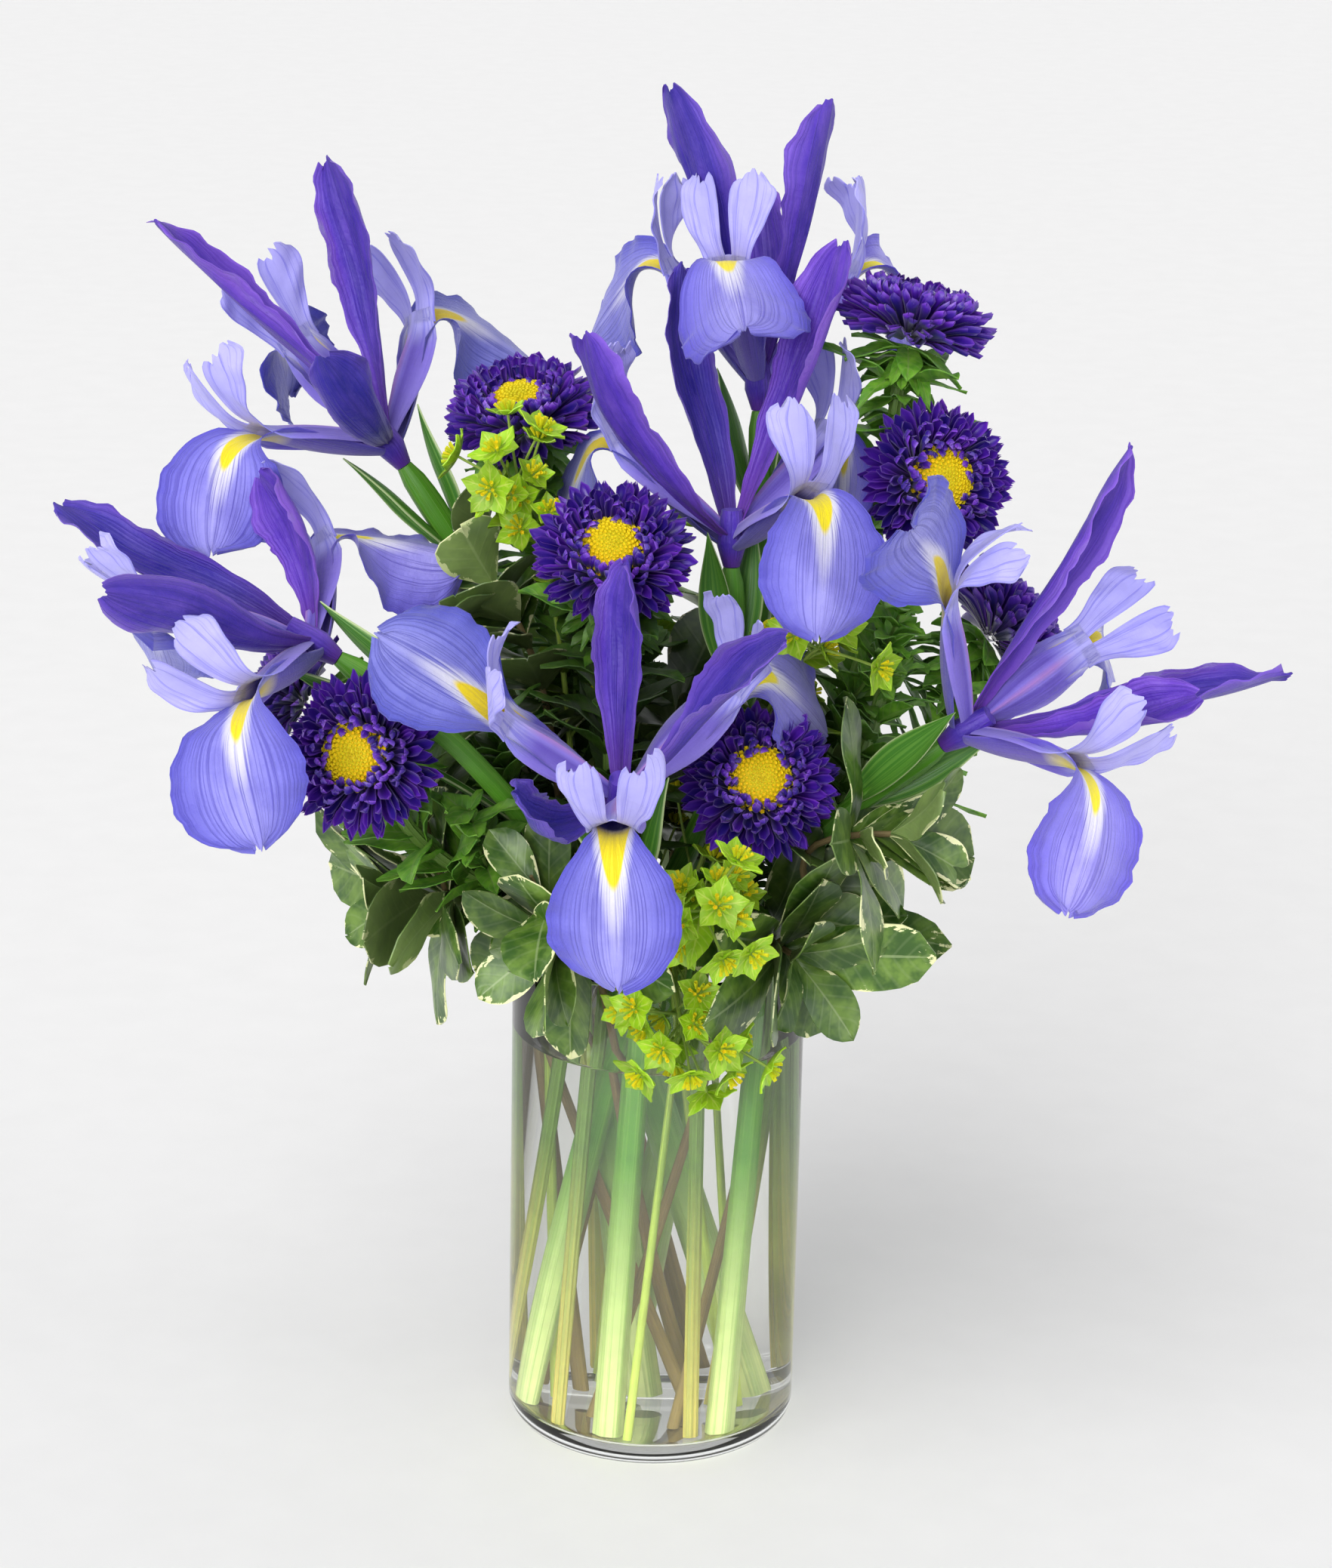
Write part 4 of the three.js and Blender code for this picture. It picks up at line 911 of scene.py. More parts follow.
def bend(pattern, path, side, half, thickness, lift, curl=None, twist=None, reach=None, spread=None):
    """A blade's points along a path. Side is the way its width runs and half its greatest
    half-width. Lift is how far each place stands off the path, from its shares along and
    across and its width, curl how far its sides roll up and twist how far it turns along it,
    in radians, and reach and spread alter its length and width. Also gives its flat size."""
    u = pattern.share[:, 1]
    v = pattern.share[:, 0] * 2 - 1
    place = u if reach is None else np.clip(reach(u, v), 0, 1)
    onward = path.tangent(place)
    across = unit(side - (onward @ side)[:, None] * onward)
    up = crossed(onward, across)
    turn = (np.zeros_like(u) if twist is None else twist(u))[:, None]
    across, up = across * np.cos(turn) + up * np.sin(turn), up * np.cos(turn) - across * np.sin(turn)
    width = pattern.points[:, 0] * half * (1 if spread is None else spread(u, v))
    height = pattern.points[:, 2] * thickness + lift(u, v, width)
    flat = np.stack([width, u * path.length], axis=-1) / 100
    if curl is not None:
        radius = half / np.maximum(curl(u, v), 0.05)
        height = height + radius * (1 - np.cos(width / radius))
        width = radius * np.sin(width / radius)
    return path.point(place) + across * width[:, None] + up * height[:, None], flat


def wrap(pattern, path, radius, level=False):
    """A stalk's points along a path, with a radius for share along and turn. Level cuts its foot so."""
    u = pattern.share[:, 1]
    rows, row = np.unique(np.round(u, 6), return_inverse=True)
    onward = path.tangent(rows)
    across = np.empty_like(onward)
    last = np.array([1.0, 0.0, 0.0])
    for i, ahead in enumerate(onward):
        last = unit(last - last @ ahead * ahead)
        across[i] = last
    deep = crossed(onward, across)
    turn = np.arctan2(pattern.points[:, 1], pattern.points[:, 0])
    reach = np.hypot(pattern.points[:, 0], pattern.points[:, 1]) * radius(u, turn)
    spread = across[row] * np.cos(turn)[:, None] + deep[row] * np.sin(turn)[:, None]
    points = path.point(rows)[row] + spread * reach[:, None]
    if level:
        foot = row == 0
        points[foot] += np.outer((path.point(0.0)[2] - points[foot, 2]) / onward[0][2], onward[0])
    return points, np.stack([np.abs(turn) * reach.mean(), u * path.length], axis=-1) / 100


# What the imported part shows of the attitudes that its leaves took


def node_points(node):
    """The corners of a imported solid, in millimetres."""
    return read(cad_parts[node].data.vertices, "co", 3) / MM


def stands_there(node_places, *points):
    """Whether a solid has corners at all these points, which tells that a leaf ends there."""
    return all(np.min(np.linalg.norm(node_places - point, axis=1)) < CORNER_REACH for point in points)


# Stems


def stem_path(plant, *bends):
    """A stem's path from the vase's floor, past its mouth and through the bends to the last of them."""
    start = np.array([*plant["foot"], VASE_FLOOR + GAP])
    mouth = np.array([*plant["mouth"], BEND_LEVEL], dtype=float)
    return SoftPath(start, start + (mouth - start) * 0.88, mouth, *plant.get("via", []), *bends)


def on_stem(path, u, bends=4, extra=()):
    """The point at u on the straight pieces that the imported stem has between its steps."""
    straight = 0.92 * (BEND_LEVEL - VASE_FLOOR) / path.length
    steps = np.sort([0, *(straight + (1 - straight) * np.arange(bends + 1) / bends), *extra])
    i = max(int(np.searchsorted(steps, u)), 1)
    low, high = steps[i - 1], steps[i]
    return path.point(low) + (path.point(high) - path.point(low)) * (u - low) / (high - low)


# Irises


def iris_axis(iris):
    """The way that a bloom faces, which is the mean of its petals' ways."""
    return unit(sum(polar(*petal[:2]) for petal in iris["falls"] + iris["standards"]))


def fall_width(u):
    """Half-width of a fall in millimetres: a narrow haft, then a round blade."""
    return drawn(
        u, (0, 1.8), (0.15, 5.2), (0.3, 7.2), (0.44, 7.4), (0.51, 6.6), (0.57, 10.2), (0.63, 15.4),
        (0.7, 19.4), (FALL_WIDEST, 21), (0.86, 19.9), (0.93, 15.6), (0.975, 9.6), (1, 2.5),
    )


def iris_fall(growth, pattern, seat, axis, petal, phase, thickness, ruffle):
    """A fall: its haft rises to the knee, where the ruffled blade turns down."""
    haft, hang = polar(*petal[:2]), polar(*petal[2:4])
    fold, turn = petal[4:]
    knee = seat + haft * HAFT
    side = crossed(axis, haft)
    face = crossed(hang, side)
    path = SoftPath(
        seat + axis * 4 + haft * 2,
        seat + haft * HAFT * 0.5 - axis * 3,
        knee + haft * 9,
        knee + haft * 7 + hang * FALL_BLADE * 0.5,
        knee + hang * FALL_BLADE - face * (2 + 5 * math.sin(2 * phase)),
    )

    def lift(u, v, width):
        cup = drawn(u, (0, 0.5), (0.42, 0.5), (0.55, 0.3), (0.75, 0), (1, -0.25)) * np.abs(width * v)
        blade = np.clip((u - 0.5) * 4, 0, 1)
        cup -= fold * blade * np.abs(width)
        waves = np.sin(40 * u + 4 * v + phase) + 0.7 * np.sin(83 * u - 5 * v)
        frill = ruffle * np.abs(v) ** 3 * blade * waves
        groove = -0.8 * np.exp(-(v / 0.06) ** 2) * blade * np.clip((1 - u) * 5, 0, 1)
        return cup + 2.6 * blade * uneven(u, v, phase) + frill + groove

    def reach(u, v):
        return u - 0.012 * u ** 12 * (1 + np.sin(9 * v + phase) + 0.6 * np.sin(23 * v + 2 * phase))

    def spread(u, v):
        crisp = 0.012 * np.sin(61 * u + 9 * v + phase)
        crisp += 0.014 * np.sin(103 * u + 3 * np.sin(9 * u + phase) + v)
        return 1 + 0.03 * np.sin(7 * u + 2 * np.sign(v) + phase) + crisp * np.abs(v) ** 4

    def twist(u):
        return turn * drawn(u, (0.4, 0), (0.5, 0.35), (0.7, 1), (1, 1.1))

    growth.add_blade(
        pattern, path, side, fall_width(FALL_WIDEST), thickness, lift, 0, (phase * 0.37) % 1,
        twist=twist, reach=reach, spread=spread,
    )


def iris_style(growth, arm, crest, seat, axis, petal, phase, thickness):
    """A style arm that roofs the haft, and the two frilled crests that stand up at its end."""
    haft = polar(*petal[:2])
    side = crossed(axis, haft)
    rise = crossed(haft, side)
    end = seat + haft * (HAFT + 3) + rise * 0.5
    stand = unit(axis + haft * 0.3)
    path = SoftPath(
        seat + axis * 11 + haft * 3,
        seat + haft * HAFT * 0.55 + rise * 8,
        end + haft * 2,
        end + stand * CREST * 0.6 + haft * 2,
        end + stand * CREST - haft * 3,
    )

    def add_part(pattern, across, reach, v):
        """Adds a blade whose points have these shares of the path's length and of its half-width."""
        onward = path.tangent(reach)
        level = unit(side - (onward @ side)[:, None] * onward)
        flare = np.clip((reach - 0.5) / 0.5, 0, 1)
        half = drawn(
            reach, (0, 2.8), (0.12, 5.8), (0.3, 9), (0.48, 9), (0.58, 8.4), (0.74, 13.5), (0.9, 16.5),
            (1, 15),
        )
        drop = (0.9 * np.exp(-(v / 0.16) ** 2) - 5.2 * np.abs(v) ** 1.7) * (1 - flare) ** 2
        waves = 2.2 * np.sin(15 * reach + 5 * v + phase) + 1.6 * np.sin(37 * reach + 9 * v + phase)
        frill = flare * np.abs(v) ** 2 * waves + 9 * flare ** 1.5 * np.abs(v) ** 1.5
        height = drop + frill + pattern.points[:, 2] * thickness
        points = path.point(reach) + (
            level * (half * v)[:, None] + crossed(onward, level) * height[:, None]
        )
        flat = np.stack([half * v, reach * path.length], axis=-1) / 100
        growth.add(pattern, points, flat, 2, share=np.stack([across, reach], axis=-1))

    across, u = arm.share.T
    add_part(arm, across, u * 0.62, arm.points[:, 0] * (1 - 0.25 * u ** 6))
    across, u = crest.share.T
    inner = 0.03 + 0.17 * u ** 2
    for sign in (-1, 1):
        ragged = 0.026 * np.sin(6 * across + phase + sign) + 0.016 * np.sin(23 * across + 2 * phase)
        ragged = (ragged + 0.01 * np.sin(57 * across + phase)) * u ** 4
        outward = (1 + inner) / 2 + (1 - inner) / 2 * crest.points[:, 0]
        add_part(crest, across, np.clip(0.56 + 0.41 * u + ragged, 0, 1), sign * outward)


def iris_standard(growth, pattern, seat, axis, petal, phase, thickness, ruffle):
    """A standard: it rises from a narrow claw, rolled at its sides and frilled at its end."""
    heading, rise, length, bow, turn = petal
    reach = polar(heading, rise)
    side = crossed(axis, reach)
    inward = crossed(reach, side)
    sway = side * 4 * math.sin(3 * phase)
    path = SoftPath(
        seat + axis * 7 + reach * 4,
        seat + reach * length * 0.33 + inward * (3 - bow) + sway * 0.6,
        seat + reach * length * 0.68 - inward * bow - sway,
        seat + reach * length * 0.88 - inward * bow * 0.5 - sway * 0.4,
        seat + reach * length,
    )

    def lift(u, v, width):
        waves = np.sin(31 * u + 3 * v + phase) + 0.5 * np.sin(67 * u - 4 * v + phase)
        frill = ruffle * np.abs(v) ** 3 * u * waves
        rib = 0.7 * np.exp(-(v / 0.09) ** 2) * (1 - 0.7 * u)
        pleats = 0.35 * np.sin(11 * v + 2 * phase) * u * (1 - u) * 4
        return 2.8 * u * uneven(u, v, phase) + frill + pleats - rib

    def along(u, v):
        notch = 1 + np.sin(4 * v + phase) + 0.35 * np.sin(13 * v + 2 * phase) + 0.15 * np.sin(37 * v)
        return u - 0.014 * u ** 14 * notch

    def spread(u, v):
        edge = np.sign(v)
        wave = 0.09 * np.sin(6 * u + 2.5 * edge + phase)
        crisp = 0.025 * np.sin(61 * u + 4 * np.sin(11 * u) + 6 * v + phase) * np.abs(v) ** 3
        return 1 + wave + 0.03 * np.sin(17 * u + 3 * np.sin(5 * u) + 4 * edge) + crisp

    def curl(u, v):
        return 2.1 - 1.1 * u + 0.5 * np.sin(5 * u + 2 * phase) * np.sign(v)

    growth.add_blade(
        pattern, path, side, STANDARD_HALF_WIDTH, thickness, lift, 1, (phase * 0.29) % 1,
        curl=curl, twist=lambda u: turn * u, reach=along, spread=spread,
    )


def iris_spathe(iris, heading, opening):
    """The path and side of a spathe that starts below the ovary and opens this far."""
    seat = np.array(iris["seat"], dtype=float)
    axis = iris_axis(iris)
    out = polar(heading, 0)
    out = unit(out - out @ axis * axis)
    start = seat - axis * (OVARY_LENGTH + 4) + out
    path = SoftPath(
        start,
        start + axis * SPATHE * 0.4 + out * 5,
        start + axis * SPATHE * 0.75 + out * (5 + opening * 0.4),
        start + axis * SPATHE + out * (5 + opening),
    )
    return path, -crossed(axis, out)


def strap_leaf(iris, swing):
    """The path and side of a leaf that leaves an iris stem and arches over."""
    distance, heading, rise, length = iris["strap"]
    heading += swing
    path = iris_stem_path(iris)
    ovary = (1 - OVARY_LENGTH / path.length, 1 - OVARY_LENGTH / 2 / path.length)
    start = on_stem(path, 1 - distance / path.length, extra=ovary)
    out, level = polar(heading, rise), polar(heading, 0)
    return SoftPath(
        start,
        start + out * length * 0.5,
        start + out * length * 0.8 + level * length * 0.12,
        start + out * length * 0.9 + level * length * 0.3,
    ), polar(heading + 90, 0)


def iris_stem_path(iris):
    seat = np.array(iris["seat"], dtype=float)
    axis = iris_axis(iris)
    return stem_path(iris, seat - axis * 62 - UP * 8, seat - axis * OVARY_LENGTH, seat - axis * GAP)


def first_standing(places, blades, tip_half):
    """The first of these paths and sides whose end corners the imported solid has, in a list."""
    for path, side in blades:
        if stands_there(places, *tip_corners(path, side, tip_half)):
            return [(path, side)]
    return []


def tip_corners(path, side, half):
    """The middle of a packed blade's end edge at either side."""
    onward = path.tangent(1.0)
    across = unit(side - side @ onward * onward)
    return path.point(1.0) - across * half, path.point(1.0) + across * half


# Leaves that spread from one joint of a stem

# The turns and shares of its length at which a packed leaf may have found room
ATTITUDES = [(0, 1), (12, 1), (-12, 1), (22, 0.9), (-22, 0.9), (0, 0.65)]

# The mound of foliage: stops of height and reach to the sides, to the front and to the back
MOUND_WIDE = [(120, 105), (150, 122), (200, 128), (240, 112), (300, 84), (350, 70), (400, 40), (440, 10)]
MOUND_FRONT = [(120, 100), (200, 112), (228, 96), (246, 52), (300, 44), (340, 20), (400, 0), (440, 0)]
MOUND_BACK = [(120, 90), (200, 108), (260, 104), (320, 84), (380, 60), (440, 10)]


def leaf_path(start, out, up, length, droop):
    """The path and side of a leaf that droops towards its tip."""
    side = crossed(up, out)
    face = crossed(out, side)
    path = SoftPath(
        start,
        start + out * length * 0.45 + face * length * 0.06,
        start + out * length * (1 - droop * 0.2) - face * droop * length * 0.3,
    )
    return path, side


def rosette(places, centre, axis, count, turn, tip_half, leaf_at):
    """The leaves of one joint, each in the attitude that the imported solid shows."""
    across = square_to(axis)
    found = []
    for i in range(count):
        ways = (
            leaf_at(swung(across, axis, turn + 360 * i / count + swing), i, share)
            for swing, share in ATTITUDES
        )
        blades = (leaf_path(centre, out, axis, length, droop) for out, length, droop in ways)
        found += first_standing(places, blades, tip_half)
    return found


def leaf_lift(fold, wave, phase):
    """How a leaf's sides fold up along its midrib and ripple at its edge."""
    def lift(u, v, width):
        ripple = wave * np.abs(v) ** 2 * np.sin(9 * u + 2.5 * np.sign(v) + phase) * np.clip(u * 3, 0, 1)
        rib = -0.35 * np.exp(-(v / 0.08) ** 2)
        return fold * np.abs(width) + ripple + rib
    return lift


def rounded_tip(u, start):
    """One along a blade and then a round end from a share of its length."""
    return np.sqrt(np.clip(1 - (np.clip(u - start, 0, 1) / (1.001 - start)) ** 2, 0.0004, 1))


def in_mound(points):
    """Whether points lie in the mound that the foliage makes below and behind the blooms."""
    x, y, z = points.T
    wide = drawn(z, *MOUND_WIDE)
    deep = np.where(y < 0, drawn(z, *MOUND_FRONT), drawn(z, *MOUND_BACK))
    return (x / np.maximum(wide, 1)) ** 2 + (y / np.maximum(deep, 1)) ** 2 < 1


class Clearance:
    """All that stands in the vase so far, finished or still packed, which added leaves keep clear of."""

    # Where a blade is tried along its length, and its half-width there
    STEPS = np.array([0.2, 0.4, 0.6, 0.8, 1.0])
    WIDTHS = np.array([0.5, 0.85, 0.9, 0.8, 0.3])[:, None]

    def __init__(self, context):
        graph = context.evaluated_depsgraph_get()
        self.trees = {
            name: BVHTree.FromObject(GROWN.get(name, node), graph) for name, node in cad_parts.items()
            if name != "water"
        }

    def admit(self, own, blades, anywhere=False):
        """Whether all these blades, each a path, a side and a half-width, have room. Then they take it."""
        corners, faces = [], []
        for path, side, half in blades:
            middle, ahead = path.point(self.STEPS), path.tangent(self.STEPS)
            reach = unit(side - (ahead @ side)[:, None] * ahead) * half * self.WIDTHS
            strip = np.stack([middle - reach, middle + reach], axis=1).reshape(-1, 3)
            if strip[:, 2].min() < LEAF_FLOOR or not (anywhere or np.all(in_mound(strip))):
                return False
            first = len(corners)
            starts = range(first, first + len(strip) - 2, 2)
            faces += [(i, i + 1, i + 3, i + 2) for i in starts]
            corners += [Vector(point) * MM for point in strip]
        tree = BVHTree.FromPolygons(corners, faces)
        if any(name != own and other.overlap(tree) for name, other in self.trees.items()):
            return False
        self.trees[len(self.trees)] = tree
        return True


def clothe(solids, own, path, rng, distances, low, count, lengths, halves, lean, droop, anywhere=False):
    """Leaves that a stem bears at distances below its end, above a height, where they have room."""
    found = []
    for distance in distances:
        u = 1 - distance / path.length
        start, onward = path.point(u), path.tangent(u)
        if start[2] < low:
            break
        first = swung(square_to(onward), onward, rng.uniform(0, 360))
        for i in range(count):
            out = swung(first, onward, 360 * i / count + rng.uniform(-20, 20))
            out = unit(out + onward * rng.uniform(*lean))
            # A leaf that would point down turns to the light, but for those right below a head
            if out[2] < 0 and not anywhere:
                out = unit(out * (1, 1, 0.3))
            length, half, sag = rng.uniform(*lengths), rng.uniform(*halves), rng.uniform(*droop)
            for share in (1, 0.75, 0.55):
                blade = (*leaf_path(start, out, onward, length * share, sag), half * (0.4 + 0.6 * share))
                if solids.admit(own, [blade], anywhere):
                    found.append(blade)
                    break
    return found


def side_twig(solids, own, path, rng, distance, length, low):
    """A thin shoot that leaves a stem and turns upwards, if it has room."""
    start, onward = path.point(1 - distance / path.length), path.tangent(1 - distance / path.length)
    out = swung(square_to(onward), onward, rng.uniform(0, 360))
    aim = unit(out * rng.uniform(0.5, 1.0) + onward * 0.5 + UP * rng.uniform(0.5, 1.1))
    if start[2] < low:
        return None
    for share in (1, 0.7):
        twig = SoftPath(
            start, start + aim * length * share * 0.5, start + unit(aim + UP * 0.4) * length * share,
        )
        if solids.admit(own, [(twig, square_to(aim), 1.2)]):
            return twig
    return None


# The settings that a user would change


def colours(table):
    """A colour setting for each key, from its hex value and what it colours."""
    return {
        key: bpy.props.FloatVectorProperty(
            name=key.replace("_", " ").capitalize(), description=text, subtype="COLOR", size=4, min=0, max=1,
            default=from_hex(colour),
        )
        for key, (colour, text) in table.items()
    }


def length_property(name, millimetres, description):
    """A length setting, whose default is given in millimetres."""
    return bpy.props.FloatProperty(
        name=name, description=description, subtype="DISTANCE", unit="LENGTH", min=0,
        default=millimetres * MM, precision=5,
    )


class VaseSettings(bpy.types.PropertyGroup):
    wall: length_property("Wall", VASE_WALL, "Thickness of the vase's wall")
    __annotations__.update(colours({
        "glass_colour": ("#ffffff", "Tint of the glass"),
        "water_colour": ("#fefffb", "Tint of the water"),
    }))


class IrisSettings(bpy.types.PropertyGroup):
    petal_thickness: length_property("Petal thickness", 0.5, "Thickness of falls, standards and styles")
    ruffle: length_property("Ruffle", 1.1, "Depth of the ruffles along a petal's edge")
    __annotations__.update(colours({
        "fall_middle": ("#a6a2f0", "Colour along the middle of a fall"),
        "fall_colour": ("#827ee0", "Main colour of a fall"),
        "fall_rim": ("#5a54c8", "Colour along a fall's edge"),
        "fall_vein": ("#5850be", "Colour of a fall's veins"),
        "fall_back": ("#4a42b8", "Colour of a fall's back"),
        "haft_colour": ("#7460bc", "Colour of a fall's narrow haft"),
        "halo_colour": ("#f4f2f4", "Pale halo about the signal"),
        "signal_colour": ("#fbe400", "Yellow tongue on a fall"),
        "standard_colour": ("#331e92", "Deep colour along a standard's middle"),
        "standard_middle": ("#482cac", "Main colour of a standard"),
        "standard_rim": ("#7654c8", "Lighter colour towards a standard's edge"),
        "standard_claw": ("#5c2c96", "Purple of a standard's narrow foot"),
        "style_arm": ("#8878d8", "Colour of a style arm"),
        "style_keel": ("#a87cc6", "Rosy streak along a style arm's back"),
        "style_flank": ("#6450b8", "Deep violet of a style arm's flanks"),
        "crest_colour": ("#aeaaee", "Colour of a style's crests"),
        "stem_colour": ("#4e8c1c", "Colour of an iris stem"),
        "stem_foot": ("#dcea98", "Colour of an iris stem in the water"),
        "stem_rib": ("#7cac44", "Colour of an iris stem's ribs"),
        "blade_colour": ("#3c7420", "Colour of an iris leaf"),
        "blade_vein": ("#6c9c3c", "Colour of an iris leaf's veins"),
        "blade_rim": ("#b8c890", "Colour of an iris leaf's edge"),
    }))


class AsterSettings(bpy.types.PropertyGroup):
    buds: bpy.props.IntProperty(name="Disc florets", description="Florets in a disc", default=190, min=20)
    __annotations__.update(colours({
        # Painted shade: the near-black of the florets' roots deep in a head
        "floret_root": ("#170742", "Colour deep in a head"),
        "floret_colour": ("#320f86", "Main colour of a ray floret"),
        "floret_tip": ("#4c22a2", "Colour of a floret's tip"),
        "floret_rim": ("#7a48c4", "Colour of a floret's rolled rim"),
        "disc_ripe": ("#ffe614", "Colour of open disc florets"),
        "disc_unripe": ("#e0da28", "Colour of closed disc florets"),
        "disc_mouth": ("#f2c414", "Colour in a disc floret's mouth"),
        "stem_colour": ("#5c7c30", "Colour of an aster stem"),
        "stem_foot": ("#d8c860", "Colour of an aster stem in the water"),
        "leaf_colour": ("#3c7818", "Colour of an aster leaf"),
        "leaf_light": ("#84ba38", "Lighter mottling of an aster leaf"),
        "leaf_vein": ("#7c9c50", "Colour of an aster leaf's veins"),
    }))


class FoliageSettings(bpy.types.PropertyGroup):
    leaf_thickness: length_property("Leaf thickness", 0.45, "Thickness of leaves")
    __annotations__.update(colours({
        "leaf_dark": ("#34581a", "Dark green of a pittosporum leaf"),
        "leaf_grey": ("#6b8b36", "Grey-green of a pittosporum leaf"),
        "leaf_vein": ("#9cae7c", "Colour of a pittosporum leaf's veins"),
        "leaf_cream": ("#e6e8b0", "Cream margin of a pittosporum leaf"),
        "leaf_under": ("#94a868", "Underside of a pittosporum leaf"),
        "bark_colour": ("#74643e", "Colour of a pittosporum twig"),
        "bark_foot": ("#a08a4c", "Colour of a twig in the water"),
        "bark_rib": ("#665830", "Colour of a twig's bark ridges"),
        "bract_colour": ("#86b810", "Colour of a bupleurum bract"),
        "bract_light": ("#b4dc28", "Lighter mottling of a bract"),
        "bract_vein": ("#c8dc60", "Colour of a bract's veins"),
        "flower_ripe": ("#f2dc10", "Colour of a bupleurum's flowers"),
        "flower_unripe": ("#c4d420", "Colour of a bupleurum's buds"),
        "spray_stem": ("#7c9c38", "Colour of a bupleurum stem"),
    }))


class StageSettings(bpy.types.PropertyGroup):
    __annotations__.update(colours({"floor_colour": ("#f4f3f2", "Colour of the studio floor")}))
    light: bpy.props.FloatProperty(
        name="Light", description="Strength of the studio lights", default=1.0, min=0,
    )


# Operators


class BOUQUET_OT_vase(bpy.types.Operator):
    """A clear cylinder vase with a thick, rounded foot"""

    bl_idname = "bouquet.vase"
    bl_label = "Vase"

    def execute(self, context):
        settings = context.scene.bouquet_vase
        wall = settings.wall / MM
        # The foot's underside is pressed in a little, as such vases are
        profile = [
            (0, 1.2), (24, 1.0), (36, 0.3), (VASE_RADIUS - 10, 0.0),
            *rounding(VASE_RADIUS - FOOT_BEND, FOOT_BEND, FOOT_BEND, -90, 0, 10)[1:],
            *rounding(VASE_RADIUS - wall / 2, VASE_HEIGHT - wall / 2, wall / 2, 0, 180, 9),
            *rounding(VASE_RADIUS - wall - CORNER_BEND, VASE_FLOOR + CORNER_BEND, CORNER_BEND, 0, -90),
            (0, VASE_FLOOR),
        ]
        piece = turn_profile("vase_glass", profile)
        piece.data.materials.append(glass_material(settings))
        finish_piece(piece, "vase", 40)
        return {"FINISHED"}


class BOUQUET_OT_water(bpy.types.Operator):
    """Water in the vase, which creeps up the glass at its edge"""

    bl_idname = "bouquet.water"
    bl_label = "Water"

    def execute(self, context):
        settings = context.scene.bouquet_vase
        # It wets the glass: it reaches a hair into the wall, so that no air shows between them
        radius = VASE_RADIUS - settings.wall / MM + WETTING
        floor = VASE_FLOOR - WETTING
        corner = rounding(radius - CORNER_BEND, floor + CORNER_BEND, CORNER_BEND, -90, 0)
        edge = [
            (radius - CREEP_WIDTH * s, WATER_LEVEL + CREEP_HEIGHT * (1 - s) ** 2)
            for s in np.linspace(0, 1, 7)
        ]
        profile = [(0, floor), *corner, *edge, (0, WATER_LEVEL)]
        piece = turn_profile("vase_water", profile)
        piece.data.materials.append(water_material(settings))
        finish_piece(piece, "water", 60)
        return {"FINISHED"}


class BOUQUET_OT_iris_blooms(bpy.types.Operator):
    """Six iris blooms: three falls, three styles with crests and three standards each"""

    bl_idname = "bouquet.iris_blooms"
    bl_label = "Iris blooms"

    def execute(self, context):
        settings = context.scene.bouquet_iris
        materials = [fall_material(settings), standard_material(settings), style_material(settings)]
        thickness, ruffle = settings.petal_thickness / MM, settings.ruffle / MM
        fall = cut_blade(20, 60, lambda u: fall_width(u) / fall_width(FALL_WIDEST))
        standard = cut_blade(14, 48, lambda u: drawn(
            u, (0, 0.2), (0.12, 0.3), (0.3, 0.55), (0.5, 0.84), (0.66, 1), (0.8, 0.95), (0.91, 0.7),
            (0.97, 0.46), (1, 0.24),
        ))
        arm = cut_blade(12, 14, lambda u: drawn(u, (0, 0.7), (0.3, 0.95), (1, 1)))
        crest = cut_blade(12, 24, lambda u: drawn(
            u, (0, 0.85), (0.25, 0.78), (0.5, 0.9), (0.75, 1), (0.9, 0.97), (0.97, 0.84), (1, 0.68),
        ))
        tube = cut_stalk(24, 8)
        for number, (name, iris) in enumerate(IRISES.items()):
            seat = np.array(iris["seat"], dtype=float)
            axis = iris_axis(iris)
            growth = Growth(f"{name}_petals", materials)
            for i, petal in enumerate(iris["falls"]):
                iris_fall(growth, fall, seat, axis, petal, number * 2.3 + i * 1.7, thickness, ruffle)
                iris_style(growth, arm, crest, seat, axis, petal, number * 1.9 + i * 2.1, thickness)
            for i, petal in enumerate(iris["standards"]):
                phase = number * 1.3 + i * 2.6
                iris_standard(growth, standard, seat, axis, petal, phase, thickness, ruffle)
            throat = SoftPath(seat, seat + axis * 9, seat + axis * 19)
            growth.add_stalk(tube, throat, lambda u, turn: np.interp(u, [0, 0.4, 1], [2.8, 5.0, 3.4]), 1)
            growth.finish(f"{name}_bloom", "iris_petal")
        return {"FINISHED"}


